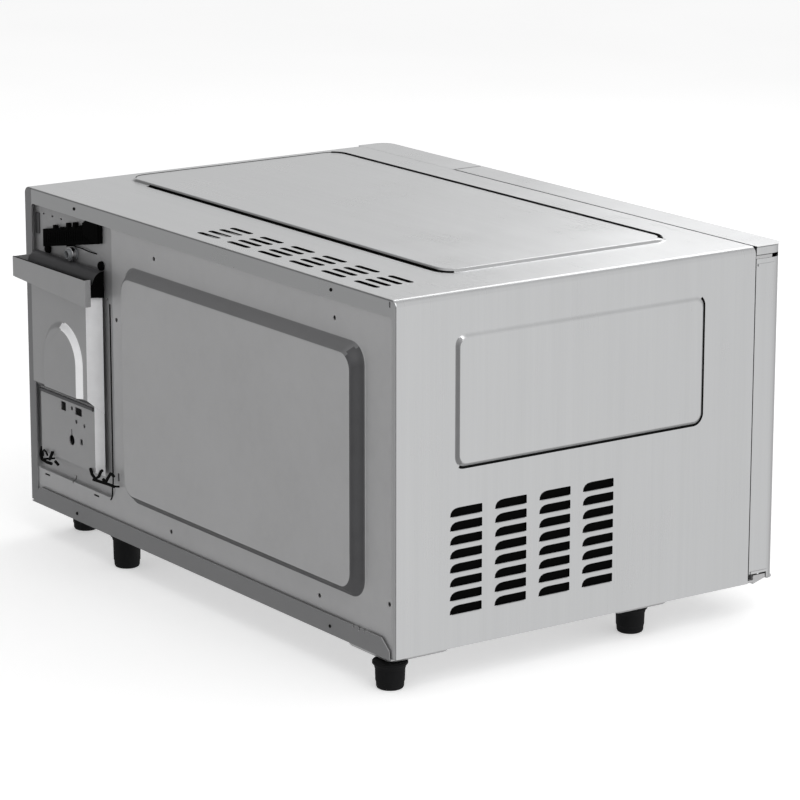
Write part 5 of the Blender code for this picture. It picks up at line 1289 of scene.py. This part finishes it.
CAMERA_PLACE = (-2.5352, 1.7785, 0.9308)
CAMERA_AZIMUTH, CAMERA_ELEVATION, CAMERA_ROLL = 234.972, 14.075, 0.060
CAMERA_LENS = 164.38
FLOOR_REACH = 40.0
LIGHT_PANELS = (
    # direction, cosine where it starts, cosine where it is full, strength
    ((-0.80, -0.56, 0.00), 0.30, 0.85, 0.54),
    ((-0.93, -0.36, -0.22), 0.88, 1.00, 0.18),
    ((0.79, 0.56, -0.22), 0.90, 0.99, 0.03),
    ((0.70, -0.70, 0.20), 0.60, 0.95, 0.42),
    ((-0.02, 1.00, -0.15), 0.965, 0.995, 0.60),
    ((0.00, 0.00, 1.00), 0.60, 1.00, 0.40),
    ((-0.50, 0.85, -0.10), 0.93, 0.985, -0.42),
    ((0.75, 0.35, 0.55), 0.80, 0.97, -0.30),
)
AMBIENT = 0.50
BACKDROP = 1.3
# name, place in metres, size in metres, watts
LAMPS = (("key", (-1.7, 0.5, 1.8), 1.4, 14.0), ("fill", (0.9, -1.5, 1.5), 1.2, 8.0))


def make_camera():
    azimuth, elevation = math.radians(CAMERA_AZIMUTH), math.radians(CAMERA_ELEVATION)
    back = Vector((math.sin(azimuth) * math.cos(elevation), -math.cos(azimuth) * math.cos(elevation),
                   math.sin(elevation)))
    camera = bpy.data.cameras.new("camera")
    camera.lens = CAMERA_LENS
    camera.sensor_width = 36.0
    camera.clip_start, camera.clip_end = 0.05, 100.0
    obj = linked("camera", camera)
    facing = (-back).to_track_quat("-Z", "Y").to_matrix().to_4x4()
    roll = Matrix.Rotation(math.radians(CAMERA_ROLL), 4, "Z")
    obj.matrix_world = Matrix.Translation(CAMERA_PLACE) @ facing @ roll
    bpy.context.scene.camera = obj


def make_floor():
    mesh = bpy.data.meshes.new("floor")
    corners = [(x, y, 0) for x, y in rectangle(-FLOOR_REACH, FLOOR_REACH, -FLOOR_REACH, FLOOR_REACH)]
    mesh.from_pydata(corners, [], [(0, 1, 2, 3)])
    floor = linked("floor", mesh)
    nodes = Nodes("floor_paper")
    nodes.colours(nodes.noise(3.0, detail=2.0), (0.3, (0.86, 0.86, 0.86)), (0.7, (0.88, 0.88, 0.88)))
    nodes.set(Roughness=0.9, Specular_IOR_Level=0.0, Emission_Color=(1.0, 1.0, 1.0, 1.0),
              Emission_Strength=0.42)
    mesh.materials.append(nodes.material)
    floor.visible_glossy = False


def make_world():
    """A soft studio: an even room with a few broad panels, and a white backdrop."""
    world = bpy.data.worlds.new("studio")
    world.use_nodes = True
    bpy.context.scene.world = world
    tree = world.node_tree
    tree.nodes.clear()
    link = tree.links.new
    direction = add_node(tree, "TexCoord").outputs["Generated"]
    total = None
    for axis, start, full, strength in LIGHT_PANELS:
        dot = add_node(tree, "VectorMath")
        dot.operation = "DOT_PRODUCT"
        dot.inputs[1].default_value = Vector(axis).normalized()
        link(direction, dot.inputs[0])
        panel = add_node(tree, "MapRange", From_Min=start, From_Max=full, To_Max=strength)
        panel.interpolation_type = "SMOOTHSTEP"
        link(dot.outputs["Value"], panel.inputs["Value"])
        add = add_node(tree, "Math")
        add.inputs[1].default_value = AMBIENT
        link(panel.outputs["Result"], add.inputs[0])
        if total is not None:
            link(total, add.inputs[1])
        total = add.outputs[0]
    light = add_node(tree, "Background")
    link(total, light.inputs["Strength"])
    mix = add_node(tree, "MixShader")
    link(add_node(tree, "LightPath").outputs["Is Camera Ray"], mix.inputs["Fac"])
    link(light.outputs["Background"], mix.inputs[1])
    link(add_node(tree, "Background", Strength=BACKDROP).outputs["Background"], mix.inputs[2])
    link(mix.outputs["Shader"], add_node(tree, "OutputWorld").inputs["Surface"])


def make_lights():
    target = Vector((0, 0, 0.15))
    for name, spot, size, energy in LAMPS:
        light = bpy.data.lights.new(name, "AREA")
        light.energy = energy
        light.size = size
        obj = linked(name, light)
        obj.location = spot
        obj.rotation_euler = (target - Vector(spot)).to_track_quat("-Z", "Y").to_euler()


bpy.context.scene.view_settings.view_transform = "Standard"
for make in (make_camera, make_floor, make_world, make_lights, paint_frame, make_wrapper, make_beads,
             make_louvre_lips, make_shade_sheets, make_screws, make_base, make_feet, make_rear_panel,
             make_panel_trim, make_grille, make_gland, make_duct, make_hood, make_duct_roll, make_duct_clips,
             make_door, make_handle, make_fascia, make_dial_marks, make_display, make_keys, make_knob,
             make_power_switch):
    make()
